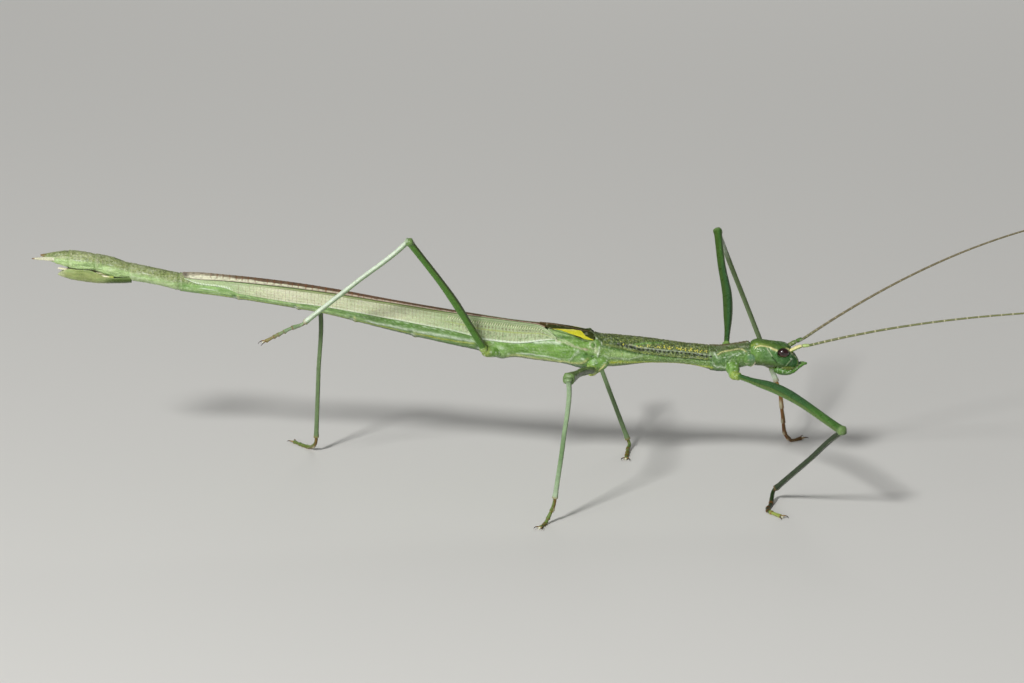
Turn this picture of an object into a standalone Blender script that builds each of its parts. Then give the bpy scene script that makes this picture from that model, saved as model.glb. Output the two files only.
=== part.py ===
"""A female winged stick insect, Otraleus okunii, as a still model at life size.

Sizes are in millimetres and turn into metres where a mesh is made. X runs to the head, Z up,
and the floor is z = 0. X is measured from a point above the hind coxae, Y from the insect's
middle, with its left side at +Y. An empty then carries every part to the middle of the model's box.
The body, the wings and the coxae all read one outline, BODY_LINE, so that they meet evenly.
"""

import math

import bmesh
import bpy
import numpy as np

MM = 0.001
GAP = 0.3  # left open between neighbouring parts
WING_SHEET = 0.5  # thickness of a wing, less at its tip
BODY_CENTRE = (11.85, 0.48)  # X and Y of the middle of the model's box

# The insect's outline with its wings closed: X, height of the middle, half height, half width
BODY_LINE = (
    (-37.9, 22.20, 0.98, 0.98),
    (-33.1, 21.19, 0.88, 1.02),
    (-29.1, 20.83, 1.10, 1.18),
    (-24.1, 20.16, 1.24, 1.32),
    (-18.2, 19.16, 1.34, 1.46),
    (-12.9, 17.95, 1.52, 1.57),
    (-6.2, 16.52, 1.74, 1.66),
    (-0.2, 15.41, 1.84, 1.76),
    (5.8, 14.64, 1.88, 1.76),
    (9.8, 14.12, 1.60, 1.42),
    (13.8, 14.10, 1.22, 1.18),
    (17.8, 13.76, 1.05, 1.08),
    (20.6, 13.40, 1.24, 1.12),
    (23.7, 13.80, 1.24, 1.02),
)
# The last three segments above the egg boat, ending in the pointed plate between the cerci
TAIL_LINE = (
    (-46.9, 23.93, 0.07, 0.08),
    (-45.9, 23.90, 0.24, 0.22),
    (-45.5, 23.80, 0.40, 0.50),
    (-44.2, 23.55, 0.72, 0.78),
    (-42.6, 23.40, 0.86, 0.93),
    (-41.3, 23.28, 0.84, 0.95),
    (-40.0, 22.98, 0.86, 0.95),
    (-38.0, 22.58, 0.65, 0.95),
)
HEAD_LINE = (
    (23.85, 13.85, 1.16, 0.96),
    (24.30, 13.93, 1.31, 1.14),
    (25.30, 13.94, 1.31, 1.28),
    (26.30, 13.80, 1.22, 1.32),
    (27.10, 13.70, 1.15, 1.26),
    (27.60, 13.56, 1.08, 1.06),
    (28.00, 13.28, 0.82, 0.84),
    (28.40, 13.00, 0.56, 0.62),
    (28.80, 12.75, 0.24, 0.36),
)
# Where one body part ends and the next begins, from the tail's plate to the neck
TAIL_BREAKS = (-46.9, -44.05, -41.4, -38.0)
BODY_BREAKS = (-38.0, -33.1, -27.4, -21.4, -15.8, -9.8, -3.2, 8.25, 19.75, 23.7)
TAIL_NAMES = ("abdomen_10", "abdomen_9", "abdomen_8")
BODY_NAMES = (
    "abdomen_7",
    "abdomen_6",
    "abdomen_5",
    "abdomen_4",
    "abdomen_3",
    "abdomen_2",
    "metathorax",
    "mesothorax",
    "prothorax",
)
COVERED = BODY_NAMES[1:7]  # the parts that lie under the wings
RIM = 0.09  # how far a segment draws in at its ends
RIM_LENGTH = 0.25
HALF_RING = 11  # points from the back's middle line to the belly's

# Borders of the folded hindwing round the body, in degrees above its side:
# X, lower edge, line where the fan folds under, upper edge
WING_EDGES = (
    (-32.8, 46, 57, 74),
    (-31.8, 38, 52, 83),
    (-29.0, 30, 44, 84),
    (-26.8, -5, 45, 84),
    (-19.5, -14, 55, 85),
    (-15.0, -3, 62, 85),
    (-6.2, 5, 74, 85),
    (-2.6, -8, 70, 85),
    (2.0, 7, 63, 85),
    (2.45, 10, 62, 84),
    (2.75, 13, 57, 72),
    (3.40, 18, 50, 60),
    (5.0, 31, 38, 43),
)
# Lower border of the short forewing, which ends at the back's middle line above
TEGMEN_EDGE = ((2.75, 80), (3.4, 70), (4.1, 62), (5.5, 52), (6.8, 42), (7.6, 43), (8.1, 52))
WING_TIP_SHEET = 0.3
COSTAL_ROWS = (0.0, 0.1, 0.28, 0.36, 0.44, 0.6, 0.68, 0.76, 0.92, 1.0)
FAN_ROWS = (0.12, 0.4, 0.5, 0.6, 0.88, 1.0)
VEIN_ROWS = (0, 3, 6, 9, 12)  # of the rows across a hindwing, counted from its lower edge
VEIN_RISE = 0.1

# Egg boat under the tail: X, top, bottom, half width
BOAT_LINE = (
    (-44.95, 22.10, 21.95, 0.10),
    (-44.6, 22.34, 21.74, 0.36),
    (-43.8, 22.42, 21.46, 0.60),
    (-42.6, 22.18, 21.24, 0.80),
    (-41.3, 22.08, 21.08, 0.86),
    (-40.0, 21.80, 21.04, 0.84),
    (-38.15, 21.62, 21.14, 0.80),
)

EYE_PLACE = (27.08, 0.97, 14.16)
EYE_HALVES = (0.54, 0.42, 0.445)
SOCKET_GAP = 0.2

# Feelers: base joint, then the four handles of one smooth curve
ANTENNA_RIGHT = (
    ((27.6, -0.50, 14.05), (28.92, -0.75, 14.74), (29.35, -0.80, 14.76)),
    ((29.65, -0.8, 14.81), (42.8, -3.4, 18.94), (55.6, -6.6, 20.18), (68.4, -10.0, 20.96)),
)
ANTENNA_LEFT = (
    ((27.5, 0.50, 14.10), (28.70, 0.75, 14.82), (29.00, 0.80, 14.98)),
    ((29.2, 0.8, 15.09), (42.9, 6.5, 22.99), (57.0, 12.0, 26.72), (71.4, 17.0, 24.27)),
)
FEELER_RADII = (0.30, 0.32, 0.25, 0.14)  # at the root, the base joint, the thread and its tip
THREAD_POINTS = 20

# Each leg, insect's right at -Y: coxa root and bend, the femur from its base to the knee,
# the ankle, and the foot from where it bends down to where the claws start
LEGS = {
    "fore_right": (
        ((21.95, -0.5, 13.3), (22.15, -1.3, 12.45)),
        ((22.5, -2.05, 12.0), (24.0, -4.0, 11.97), (25.6, -6.3, 12.05), (31.9, -17.7, 10.8)),
        (26.3, -5.6, 1.4),
        ((25.7, -7.1, 0.24), (25.3, -9.1, 0.22), (26.5, -11.2, 0.22)),
    ),
    "fore_left": (
        ((21.6, 0.5, 13.2), (21.5, 1.35, 13.3)),
        ((21.55, 2.1, 14.0), (21.8, 5.0, 15.7), (21.95, 8.0, 17.3), (21.35, 18.4, 22.15)),
        (27.4, 14.4, 6.8),
        ((28.1, 14.8, 3.2), (28.6, 15.2, 0.7), (29.1, 15.6, 0.22), (30.2, 16.4, 0.22)),
    ),
    "middle_right": (
        ((8.7, -0.7, 13.7), (8.35, -1.6, 12.75)),
        ((7.95, -2.35, 12.7), (6.8, -8.0, 14.0), (5.5, -13.8, 14.95)),
        (4.2, -13.05, 2.6),
        ((3.7, -13.0, 0.9), (3.3, -13.4, 0.24), (2.75, -14.8, 0.22)),
    ),
    "middle_left": (
        ((8.7, 0.7, 13.7), (8.45, 1.6, 12.75)),
        ((8.15, 2.35, 12.65), (8.05, 8.0, 12.6), (7.85, 14.3, 12.0)),
        (12.0, 13.0, 1.0),
        ((12.0, 12.1, 0.35), (11.9, 11.0, 0.22), (11.7, 9.0, 0.22)),
    ),
    "hind_right": (
        ((-0.9, -0.7, 14.6), (-2.1, -1.75, 14.15)),
        ((-2.8, -2.3, 14.9), (-6.0, -6.4, 21.3), (-10.0, -11.0, 28.0)),
        (-20.5, -3.85, 18.0),
        ((-21.7, -4.0, 17.5), (-22.9, -4.4, 17.0), (-24.4, -5.0, 16.35)),
    ),
    "hind_left": (
        ((-0.9, 0.7, 14.6), (-2.1, 1.75, 13.9)),
        ((-2.9, 2.35, 13.8), (-11.0, 4.4, 15.6), (-19.2, 6.15, 17.1)),
        (-20.2, 11.3, 1.75),
        ((-20.6, 12.3, 0.5), (-21.4, 13.4, 0.22), (-22.7, 15.1, 0.22)),
    ),
}
# Half thickness by pair: coxa root and end, femur base, middle and knee, tibia, foot
THICKNESS = {
    "fore": (0.58, 0.42, 0.34, 0.58, 0.44, 0.32, 0.26),
    "middle": (0.62, 0.46, 0.36, 0.42, 0.42, 0.28, 0.26),
    "hind": (0.74, 0.50, 0.40, 0.45, 0.44, 0.28, 0.26),
}
LEG_POINTS = 9
FOOT_JOINTS = (0.0, 0.36, 0.56, 0.70, 0.80, 1.0)  # along the foot, ends of its five joints
PAD_SWELL = 0.05
CLAW_LENGTH = 0.75
CLAW_SPREAD = 0.42

GREEN = "5E8F3F"
PALE_GREEN = "A9C28A"
TAIL_GREEN = "9DB48A"
TEAL_GREEN = "4F9470"
FAN_BROWN = "6E4A3C"
LEG_GREEN = "4E7F35"
TIBIA_GREY = "A3B79A"
FOOT_TAN = "9A7B4E"
EYE_MAROON = "3A1216"
FEELER_OLIVE = "7C7A4A"

for old in list(bpy.data.objects):
    bpy.data.objects.remove(old)
insect = bpy.data.collections.new("stick_insect")
cutters = bpy.data.collections.new("cutters")
bpy.context.scene.collection.children.link(insect)
bpy.context.scene.collection.children.link(cutters)
carrier = bpy.data.objects.new("stance", None)
carrier.location = (-BODY_CENTRE[0] * MM, -BODY_CENTRE[1] * MM, 0.0)
insect.objects.link(carrier)


def linear(hex_colour):
    """An sRGB hex colour as linear red, green, blue and full alpha."""
    parts = [int(hex_colour[i : i + 2], 16) / 255 for i in (0, 2, 4)]
    return [c / 12.92 if c <= 0.04045 else ((c + 0.055) / 1.055) ** 2.4 for c in parts] + [1.0]


def finish(thing, hex_colour, roughness=0.45):
    """Gives a part its own material."""
    material = bpy.data.materials.new(thing.name)
    material.use_nodes = True
    shader = material.node_tree.nodes["Principled BSDF"]
    shader.inputs["Base Color"].default_value = linear(hex_colour)
    shader.inputs["Roughness"].default_value = roughness
    shader.inputs["Metallic"].default_value = 0.0
    thing.data.materials.clear()
    thing.data.materials.append(material)


def place(thing, cutter=False):
    """Puts an object on the carrier, in the insect's collection or the cutters'."""
    (cutters if cutter else insect).objects.link(thing)
    thing.parent = carrier
    if cutter:
        thing.hide_render = True
        thing.display_type = "WIRE"
    return thing


def solid(name, points, faces, cutter=False):
    """A closed mesh object from points in millimetres and faces as tuples of their indices."""
    mesh = bpy.data.meshes.new(name)
    mesh.from_pydata((np.asarray(points) * MM).tolist(), [], faces)
    built = bmesh.new()
    built.from_mesh(mesh)
    bmesh.ops.recalc_face_normals(built, faces=built.faces)
    built.to_mesh(mesh)
    built.free()
    mesh.shade_smooth()
    mesh.set_sharp_from_angle(angle=math.radians(35))
    return place(bpy.data.objects.new(name, mesh), cutter)


def loft(name, rings, cutter=False):
    """Joins rings of equally many points into a closed skin, with a flat cap at each end."""
    count, sides = rings.shape[:2]
    faces = []
    for i in range(count - 1):
        for j in range(sides):
            k = (j + 1) % sides
            faces.append((i * sides + j, i * sides + k, (i + 1) * sides + k, (i + 1) * sides + j))
    faces.append(tuple(range(sides)))
    faces.append(tuple((count - 1) * sides + j for j in range(sides)))
    return solid(name, rings.reshape(-1, 3), faces, cutter)


def smooth(rows):
    """A reader of rows (place, value, ...): cubic between neighbours, level past the ends."""
    rows = np.array(rows, float)
    at, values = rows[:, 0], rows[:, 1:]
    slopes = np.gradient(values, at, axis=0)

    def read(x):
        x = np.clip(np.atleast_1d(np.asarray(x, float)), at[0], at[-1])
        i = np.clip(np.searchsorted(at, x) - 1, 0, len(at) - 2)
        span = (at[i + 1] - at[i])[:, None]
        t = (x - at[i])[:, None] / span
        return (
            values[i] * (1 + 2 * t) * (1 - t) ** 2
            + slopes[i] * span * t * (1 - t) ** 2
            + values[i + 1] * t * t * (3 - 2 * t)
            + slopes[i + 1] * span * t * t * (t - 1)
        )

    return read


read_body = smooth(BODY_LINE)
read_tail = smooth(TAIL_LINE)
read_head = smooth(HEAD_LINE)


def straight(rows, x, column=1):
    """A value between rows on straight lines."""
    rows = np.array(rows, float)
    return np.interp(x, rows[:, 0], rows[:, column])


def outline(read, x, angle, inset):
    """Points round the outline at X: angles in degrees above the left side, drawn in by an inset."""
    x, angle, inset = np.broadcast_arrays(*(np.asarray(a, float) for a in (x, angle, inset)))
    middle, half_height, half_width = read(x.ravel()).T.reshape(3, *x.shape)
    turn = np.radians(angle)
    y = (half_width - inset) * np.cos(turn)
    return np.stack((x, y, middle + (half_height - inset) * np.sin(turn)), axis=-1)


def wing_sheet(x):
    """Thickness of the hindwing, which thins over its last 5 mm."""
    tip = WING_EDGES[0][0]
    return np.interp(x, (tip, tip + 5), (WING_TIP_SHEET, WING_SHEET))


def cover_edge(x):
    """The angle down to which the body lies under a wing at X, with the gap below its edge."""
    root = WING_EDGES[-1][0] + GAP / 2
    lower = np.where(x < root, straight(WING_EDGES, x), straight(TEGMEN_EDGE, x))
    return lower - np.degrees(GAP / (read_body(x)[:, 2] - WING_SHEET / 2))


def body_rings(read, stations, covered, grow=0.0):
    """Rings of a body part. Where wings cover it, its upper side steps in under them."""
    stations = np.asarray(stations, float)
    draw_in = np.full(len(stations), -grow)
    if not grow:
        draw_in[[0, -1]] = RIM
    if covered:
        upper = HALF_RING // 2
        share = np.concatenate((np.linspace(0, 1, upper), np.linspace(0, 1, HALF_RING - upper)))
        edge = cover_edge(stations)[:, None]
        under = np.arange(HALF_RING) < upper
        angle = np.where(under, 90 + (edge - 90) * share, edge + (-90 - edge) * share)
        inset = np.where(under, (wing_sheet(stations) + GAP)[:, None], draw_in[:, None])
    else:
        angle = np.linspace(90, -90, HALF_RING)[None, :]
        inset = draw_in[:, None]
    half = outline(read, stations[:, None], angle, inset)
    other = half[:, -2:0:-1] * (1, -1, 1)
    return np.concatenate((half, other), axis=1)


def stations_between(start, end, spacing):
    """X places along a part: its ends, the inner edges of its rims, and even steps between."""
    count = max(2, round((end - start) / spacing))
    inner = np.linspace(start + RIM_LENGTH, end - RIM_LENGTH, count)
    return np.concatenate(([start], inner, [end]))


def make_body():
    """Tail, abdomen and thorax: one loft for each part, parted by the gap."""
    half_gap = GAP / 2
    for i, name in enumerate(TAIL_NAMES):
        start, end = TAIL_BREAKS[i] + half_gap * (i > 0), TAIL_BREAKS[i + 1] - half_gap
        stations = stations_between(start, end, 0.8)
        rings = body_rings(read_tail, stations, covered=False, grow=0.0 if i else -0.001)
        finish(loft(name, rings), TAIL_GREEN)
    for i, name in enumerate(BODY_NAMES):
        start, end = BODY_BREAKS[i] + half_gap, BODY_BREAKS[i + 1] - half_gap
        stations = stations_between(start, end, 1.4)
        if name == "metathorax":
            root = WING_EDGES[-1][0]
            near_root = abs(stations - root - half_gap) < 0.5
            stations = np.sort(np.append(stations[~near_root], (root + 0.1, root + 0.2)))
        rings = body_rings(read_body, stations, covered=name in COVERED)
        finish(loft(name, rings), GREEN)


def plate(name, outer, inner):
    """A sheet between two grids of points, split into triangles alike on both faces."""
    rows, columns = outer.shape[:2]
    index = np.arange(rows * columns).reshape(rows, columns)
    under = index + rows * columns
    faces = []
    for i in range(rows - 1):
        for j in range(columns - 1):
            a, b, c, d = index[i, j], index[i + 1, j], index[i + 1, j + 1], index[i, j + 1]
            faces += [(a, b, c), (a, c, d)]
            a, b, c, d = under[i, j], under[i + 1, j], under[i + 1, j + 1], under[i, j + 1]
            faces += [(a, c, b), (a, d, c)]
    rim = np.concatenate((index[:, 0], index[-1, 1:], index[-2::-1, -1], index[0, -2:0:-1]))
    for a, b in zip(rim, np.roll(rim, -1)):
        lower = rows * columns
        faces += [(b, a, a + lower), (b, a + lower, b + lower)]
    faces = [tuple(int(corner) for corner in face) for face in faces]
    return solid(name, np.concatenate((outer.reshape(-1, 3), inner.reshape(-1, 3))), faces)


def make_hindwings():
    """The long folded wings: costal strip on the side, fan on the back, main veins raised."""
    first, last = WING_EDGES[0][0], WING_EDGES[-1][0]
    edges = np.array(WING_EDGES)[:, 0]
    x = np.unique(np.concatenate((np.linspace(first, last, 17), edges[1:-1])))
    x = x[np.concatenate(([True], np.diff(x) > 0.25))]
    lower, fold, upper = (straight(WING_EDGES, x, column)[:, None] for column in (1, 2, 3))
    strip = lower + (fold - lower) * np.array(COSTAL_ROWS)
    fan = fold + (upper - fold) * np.array(FAN_ROWS)
    angle = np.concatenate((strip, fan), axis=1)
    rise = np.zeros(angle.shape[1])
    rise[list(VEIN_ROWS)] = VEIN_RISE
    fade = np.clip((x - first) / 3, 0, 1)[:, None]
    outer = outline(read_body, x[:, None], angle, -rise * fade)
    inner = outline(read_body, x[:, None], angle, wing_sheet(x)[:, None])
    for side, flip in (("left", 1), ("right", -1)):
        mirror = (1, flip, 1)
        finish(plate(f"hindwing_{side}", outer * mirror, inner * mirror), PALE_GREEN, 0.4)


def make_tegmina():
    """The short forewings, with a raised shoulder over the hindwing's root."""
    x = np.linspace(TEGMEN_EDGE[0][0], TEGMEN_EDGE[-1][0], 11)
    lower = straight(TEGMEN_EDGE, x)[:, None]
    angle = lower + (85 - lower) * np.linspace(0, 1, 7)
    ridge = 0.08 * np.array((0, 1, 0, 0, 1, 0, 0))
    outer = outline(read_body, x[:, None], angle, -ridge)
    inner = outline(read_body, x[:, None], angle, WING_SHEET)
    for side, flip in (("left", 1), ("right", -1)):
        mirror = (1, flip, 1)
        finish(plate(f"tegmen_{side}", outer * mirror, inner * mirror), FAN_BROWN, 0.5)


def make_boat():
    """The egg boat: flat above, keeled below, pointed behind."""
    read = smooth(BOAT_LINE)
    x = np.linspace(BOAT_LINE[0][0], BOAT_LINE[-1][0], 9)
    top, bottom, half_width = read(x).T
    turn = np.radians(np.linspace(180, 360, 9))
    keel_y = half_width[:, None] * np.cos(turn)
    keel_z = top[:, None] + (top - bottom)[:, None] * np.sin(turn)
    deck_y = half_width[:, None] * np.array((0.5, 0.0, -0.5))
    deck_z = np.repeat(top[:, None], 3, axis=1)
    y, z = np.concatenate((keel_y, deck_y), axis=1), np.concatenate((keel_z, deck_z), axis=1)
    rings = np.stack((np.repeat(x[:, None], y.shape[1], axis=1), y, z), axis=-1)
    finish(loft("operculum", rings), PALE_GREEN)


def route(points, count):
    """Evenly spaced points on a smooth curve through the given ones."""
    points = np.array(points, float)
    run = np.concatenate(([0], np.cumsum(np.linalg.norm(np.diff(points, axis=0), axis=1))))
    return smooth(np.column_stack((run, points)))(np.linspace(0, run[-1], count))


def bezier(handles, count):
    """Points on the cubic curve of four handles."""
    a, b, c, d = (np.array(h, float) for h in handles)
    t = np.linspace(0, 1, count)[:, None]
    return a * (1 - t) ** 3 + 3 * b * t * (1 - t) ** 2 + 3 * c * t * t * (1 - t) + d * t**3


def unit(vector):
    """A vector at length one."""
    return np.asarray(vector, float) / np.linalg.norm(vector)


def tube(name, path, radii, fine=2):
    """A round bar along a path, with its radius given at every point."""
    data = bpy.data.curves.new(name, "CURVE")
    data.dimensions = "3D"
    data.bevel_depth = MM
    data.bevel_resolution = fine
    data.use_fill_caps = True
    spline = data.splines.new("POLY")
    spline.points.add(len(path) - 1)
    for point, at, radius in zip(spline.points, path, radii):
        point.co = (*(np.asarray(at) * MM), 1.0)
        point.radius = radius
    return place(bpy.data.objects.new(name, data))


def as_mesh(thing):
    """The same object as a closed mesh, its caps sewn on, so that it can be cut or joined."""
    bpy.context.view_layer.update()
    shape = thing.evaluated_get(bpy.context.evaluated_depsgraph_get())
    mesh = bpy.data.meshes.new_from_object(shape)
    sewn = bmesh.new()
    sewn.from_mesh(mesh)
    bmesh.ops.remove_doubles(sewn, verts=sewn.verts, dist=1e-7)
    bmesh.ops.recalc_face_normals(sewn, faces=sewn.faces)
    sewn.to_mesh(mesh)
    sewn.free()
    name = thing.name
    bpy.data.objects.remove(thing)
    meshed = place(bpy.data.objects.new(name, mesh))
    return meshed


def cut(thing, cutter):
    """Takes a cutter's room out of a part."""
    change = thing.modifiers.new("room", "BOOLEAN")
    change.operation = "DIFFERENCE"
    change.object = cutter
    change.solver = "EXACT"


def largest_shell(mesh):
    """Keeps the closed surface with the most faces and drops loose scraps."""
    built = bmesh.new()
    built.from_mesh(mesh)
    left, shells = set(built.faces), []
    while left:
        shell, edge = set(), [left.pop()]
        while edge:
            face = edge.pop()
            shell.add(face)
            near = {other for side in face.edges for other in side.link_faces} & left
            left -= near
            edge.extend(near)
        shells.append(shell)
    keep = max(shells, key=len)
    bmesh.ops.delete(built, geom=[f for f in built.faces if f not in keep], context="FACES")
    built.to_mesh(mesh)
    built.free()


def join(name, pieces):
    """One closed mesh from overlapping closed pieces."""
    group = bpy.data.collections.new("joined")
    bpy.context.scene.collection.children.link(group)
    first, others = pieces[0], pieces[1:]
    for other in others:
        group.objects.link(other)
    change = first.modifiers.new("union", "BOOLEAN")
    change.operation = "UNION"
    change.operand_type = "COLLECTION"
    change.collection = group
    change.solver = "EXACT"
    bpy.context.view_layer.update()
    shape = first.evaluated_get(bpy.context.evaluated_depsgraph_get())
    mesh = bpy.data.meshes.new_from_object(shape)
    largest_shell(mesh)
    for piece in pieces:
        bpy.data.objects.remove(piece)
    bpy.data.collections.remove(group)
    return place(bpy.data.objects.new(name, mesh))


def sweep(path, radii, sides=8):
    """Rings round a path, each turned from the last with no twist."""
    path = np.asarray(path, float)
    ahead = np.gradient(path, axis=0)
    side = unit(np.cross(ahead[0], (0.1, 0.2, 1.0)))
    turn = np.linspace(0, 2 * math.pi, sides, endpoint=False)
    rings = []
    for at, direction, radius in zip(path, ahead, radii):
        direction = unit(direction)
        side = unit(side - direction * side.dot(direction))
        up = np.cross(direction, side)
        rings.append(at + radius * (np.outer(np.cos(turn), side) + np.outer(np.sin(turn), up)))
    return np.array(rings)


def make_eyes(head):
    """Two eyes, each seated in a hollow of the head."""
    for side, flip in (("left", 1), ("right", -1)):
        x, y, z = EYE_PLACE
        for name, more in ((f"eye_{side}", 0.0), (f"socket_{side}", SOCKET_GAP)):
            bpy.ops.mesh.primitive_uv_sphere_add(segments=14, ring_count=9, radius=1.0)
            ball = bpy.context.object
            for group in list(ball.users_collection):
                group.objects.unlink(ball)
            ball.name = ball.data.name = name
            place(ball, cutter=more > 0)
            ball.location = np.array((x, y * flip, z)) * MM
            ball.scale = (np.array(EYE_HALVES) + more) * MM
            if more:
                cut(head, ball)
            else:
                finish(ball, EYE_MAROON, 0.15)


def make_head():
    """Head capsule, its eyes, and the jaws with a palp at each side."""
    stations = np.array([row[0] for row in HEAD_LINE])
    stations = np.sort(np.concatenate((stations, (stations[1:-1] + stations[2:]) / 2)))
    head = loft("head", body_rings(read_head, stations, covered=False))
    finish(head, TEAL_GREEN, 0.35)
    make_eyes(head)
    jaw_rows = ((25.8, 12.05, 0.26, 0.5), (26.6, 11.95, 0.3, 0.62), (27.8, 11.98, 0.26, 0.5))
    jaw_stations = np.linspace(jaw_rows[0][0], jaw_rows[-1][0], 5)
    pieces = [loft("mouthparts", body_rings(smooth(jaw_rows), jaw_stations, False, -0.001))]
    for side in (1, -1):
        palp = ((26.4, 0.3, 12.05), (27.3, 0.62, 12.0), (28.35, 0.76, 12.08), (28.9, 0.76, 12.45),
                (29.5, 0.72, 12.95))
        path = route(np.array(palp) * (1, side, 1), 9)
        pieces.append(as_mesh(tube("palp", path, np.interp(range(9), (0, 5, 8), (0.2, 0.25, 0.16)))))
    finish(join("mouthparts", pieces), GREEN, 0.35)
    return loft("head_room", body_rings(read_head, stations, False, GAP), cutter=True)


def make_feelers(head_room):
    """Antennae: a stout base joint and one long thread that thins to its tip."""
    for side, (base, handles) in (("left", ANTENNA_LEFT), ("right", ANTENNA_RIGHT)):
        thread = bezier(handles, THREAD_POINTS)
        path = np.concatenate((base, thread))
        root, stout, thin, tip = FEELER_RADII
        radii = np.concatenate(((root, stout, thin), np.linspace(thin, tip, THREAD_POINTS)))
        feeler = as_mesh(tube(f"antenna_{side}", path, radii, fine=1))
        cut(feeler, head_room)
        finish(feeler, FEELER_OLIVE)


def make_cerci():
    """Two short leaf-like feelers at the tail's tip."""
    for side, flip in (("left", 1), ("right", -1)):
        path = route([(-45.95, 0.52 * flip, 23.72), (-46.8, 0.6 * flip, 23.75),
                      (-47.75, 0.56 * flip, 23.66)], 7)
        finish(tube(f"cercus_{side}", path, (0.14, 0.19, 0.22, 0.22, 0.18, 0.11, 0.03)), FAN_BROWN)


def make_foot(name, ankle, lead, points, radius):
    """Five joints, each swelling to its pad, cut level at the floor, and two claws."""
    start = np.array(ankle) + GAP * lead
    path = route((start, start + 0.35 * lead, *points), 17)
    share = np.linspace(0, 1, len(path))
    along = np.interp(share, FOOT_JOINTS, range(len(FOOT_JOINTS))) % 1.0
    rings = sweep(path, radius + PAD_SWELL * along * (share < 1))
    rings[..., 2] = np.maximum(rings[..., 2], 0.0)
    pieces = [loft(name, rings)]
    ahead = unit(path[-1] - path[-3])
    across = unit(np.cross(ahead, (0, 0, 1)))
    for flip in (1, -1):
        root = path[-1] - 0.2 * ahead
        knuckle = root + 0.45 * CLAW_LENGTH * ahead + 0.7 * flip * CLAW_SPREAD * across
        tip = root + CLAW_LENGTH * ahead + flip * CLAW_SPREAD * across
        knuckle[2], tip[2] = max(path[-1][2] + 0.02, 0.14), max(path[-1][2] - 0.1, 0.07)
        claw = tube("claw", bezier((root, (root + knuckle) / 2, knuckle, tip), 5),
                    (0.13, 0.12, 0.1, 0.08, 0.04), fine=1)
        pieces.append(as_mesh(claw))
    finish(join(name, pieces), FOOT_TAN)


def make_leg(name, coxa, femur, ankle, foot):
    """Coxa, femur, tibia and foot. The tibia's base turns at the knee, clear of the femur."""
    pair = name.split("_")[0]
    root, end, base, middle, knee_radius, shin, sole = THICKNESS[pair]
    femur, ankle = np.array(femur), np.array(ankle)
    first, knee = unit(femur[1] - femur[0]), femur[-1]
    thigh, down = unit(knee - femur[-2]), unit(ankle - knee)
    fold = -thigh.dot(down)
    reach = max(0.8, (shin + GAP + knee_radius * fold) / math.sqrt(1 - fold * fold))

    bar = route((*coxa, femur[0] - (GAP + 0.25) * first, femur[0] - GAP * first), 7)
    coxa_bar = as_mesh(tube(f"coxa_{name}", bar, np.linspace(root, end, 7)))
    room = room_at(coxa[0][0])
    cut(coxa_bar, room)
    finish(coxa_bar, GREEN)

    path = route((*femur[:-1], knee - reach * thigh), LEG_POINTS)
    radii = np.interp(np.linspace(0, 1, LEG_POINTS), (0, 0.15, 0.45, 0.9, 1),
                      (base, base, middle, 0.92 * knee_radius, knee_radius))
    finish(tube(f"femur_{name}", path, radii), LEG_GREEN)

    start = knee - (reach - GAP) * thigh
    turn = bezier((start, start + 0.8 * (reach - GAP) * thigh, knee + 0.35 * down,
                   knee + 1.3 * down), 6)
    path = np.concatenate((turn, np.linspace(knee + 1.3 * down, ankle, 5)[1:]))
    radii = np.interp(range(len(path)), (0, 3, 6, len(path) - 1), (shin + 0.04, shin, shin, shin))
    finish(tube(f"tibia_{name}", path, radii), LEG_GREEN if pair == "fore" else TIBIA_GREY)
    make_foot(f"tarsus_{name}", ankle, down, foot, sole)


rooms = {}


def room_at(x):
    """The body's outline near X, larger by the gap, to cut a coxa off level with the body."""
    if x not in rooms:
        stations = np.linspace(x - 5, min(x + 5, BODY_BREAKS[-1] + 0.6), 9)
        rings = body_rings(read_body, stations, covered=False, grow=GAP)
        rooms[x] = loft("body_room", rings, cutter=True)
    return rooms[x]


make_body()
make_hindwings()
make_tegmina()
make_boat()
make_cerci()
make_feelers(make_head())
for leg, (coxa_points, femur_points, ankle_place, foot_points) in LEGS.items():
    make_leg(leg, coxa_points, femur_points, ankle_place, foot_points)
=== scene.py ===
"""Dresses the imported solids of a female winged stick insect, Otraleus okunii, as a still life-size model.

Sizes are in millimetres on the insect's own axes: X to its head, Y to its left, Z up from the floor.
Points turn into the model's axes, in metres, where a mesh is made. A surface is a function of a
place along it and a turn round it in degrees, 90 at its upper side and -90 at its lower side.
"""

import math

import bpy
import numpy as np
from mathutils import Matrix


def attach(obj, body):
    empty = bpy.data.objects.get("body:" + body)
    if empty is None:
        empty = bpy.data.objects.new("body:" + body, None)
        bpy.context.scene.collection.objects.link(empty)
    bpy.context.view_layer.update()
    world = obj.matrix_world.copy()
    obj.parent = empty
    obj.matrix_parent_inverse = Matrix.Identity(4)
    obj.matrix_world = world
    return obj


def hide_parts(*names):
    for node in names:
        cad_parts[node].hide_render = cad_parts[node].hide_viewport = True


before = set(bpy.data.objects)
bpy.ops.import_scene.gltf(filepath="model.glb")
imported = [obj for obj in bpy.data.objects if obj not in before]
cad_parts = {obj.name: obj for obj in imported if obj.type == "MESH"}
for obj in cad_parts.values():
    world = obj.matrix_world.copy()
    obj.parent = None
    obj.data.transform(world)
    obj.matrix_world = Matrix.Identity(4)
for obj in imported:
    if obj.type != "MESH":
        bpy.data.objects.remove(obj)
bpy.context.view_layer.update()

MM = 0.001
MODEL_SHIFT = np.array((11.85, 0.48, 0))  # from the insect's axes to the model's
RANDOM = np.random.default_rng(29)
ARC = math.pi / 180

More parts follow.
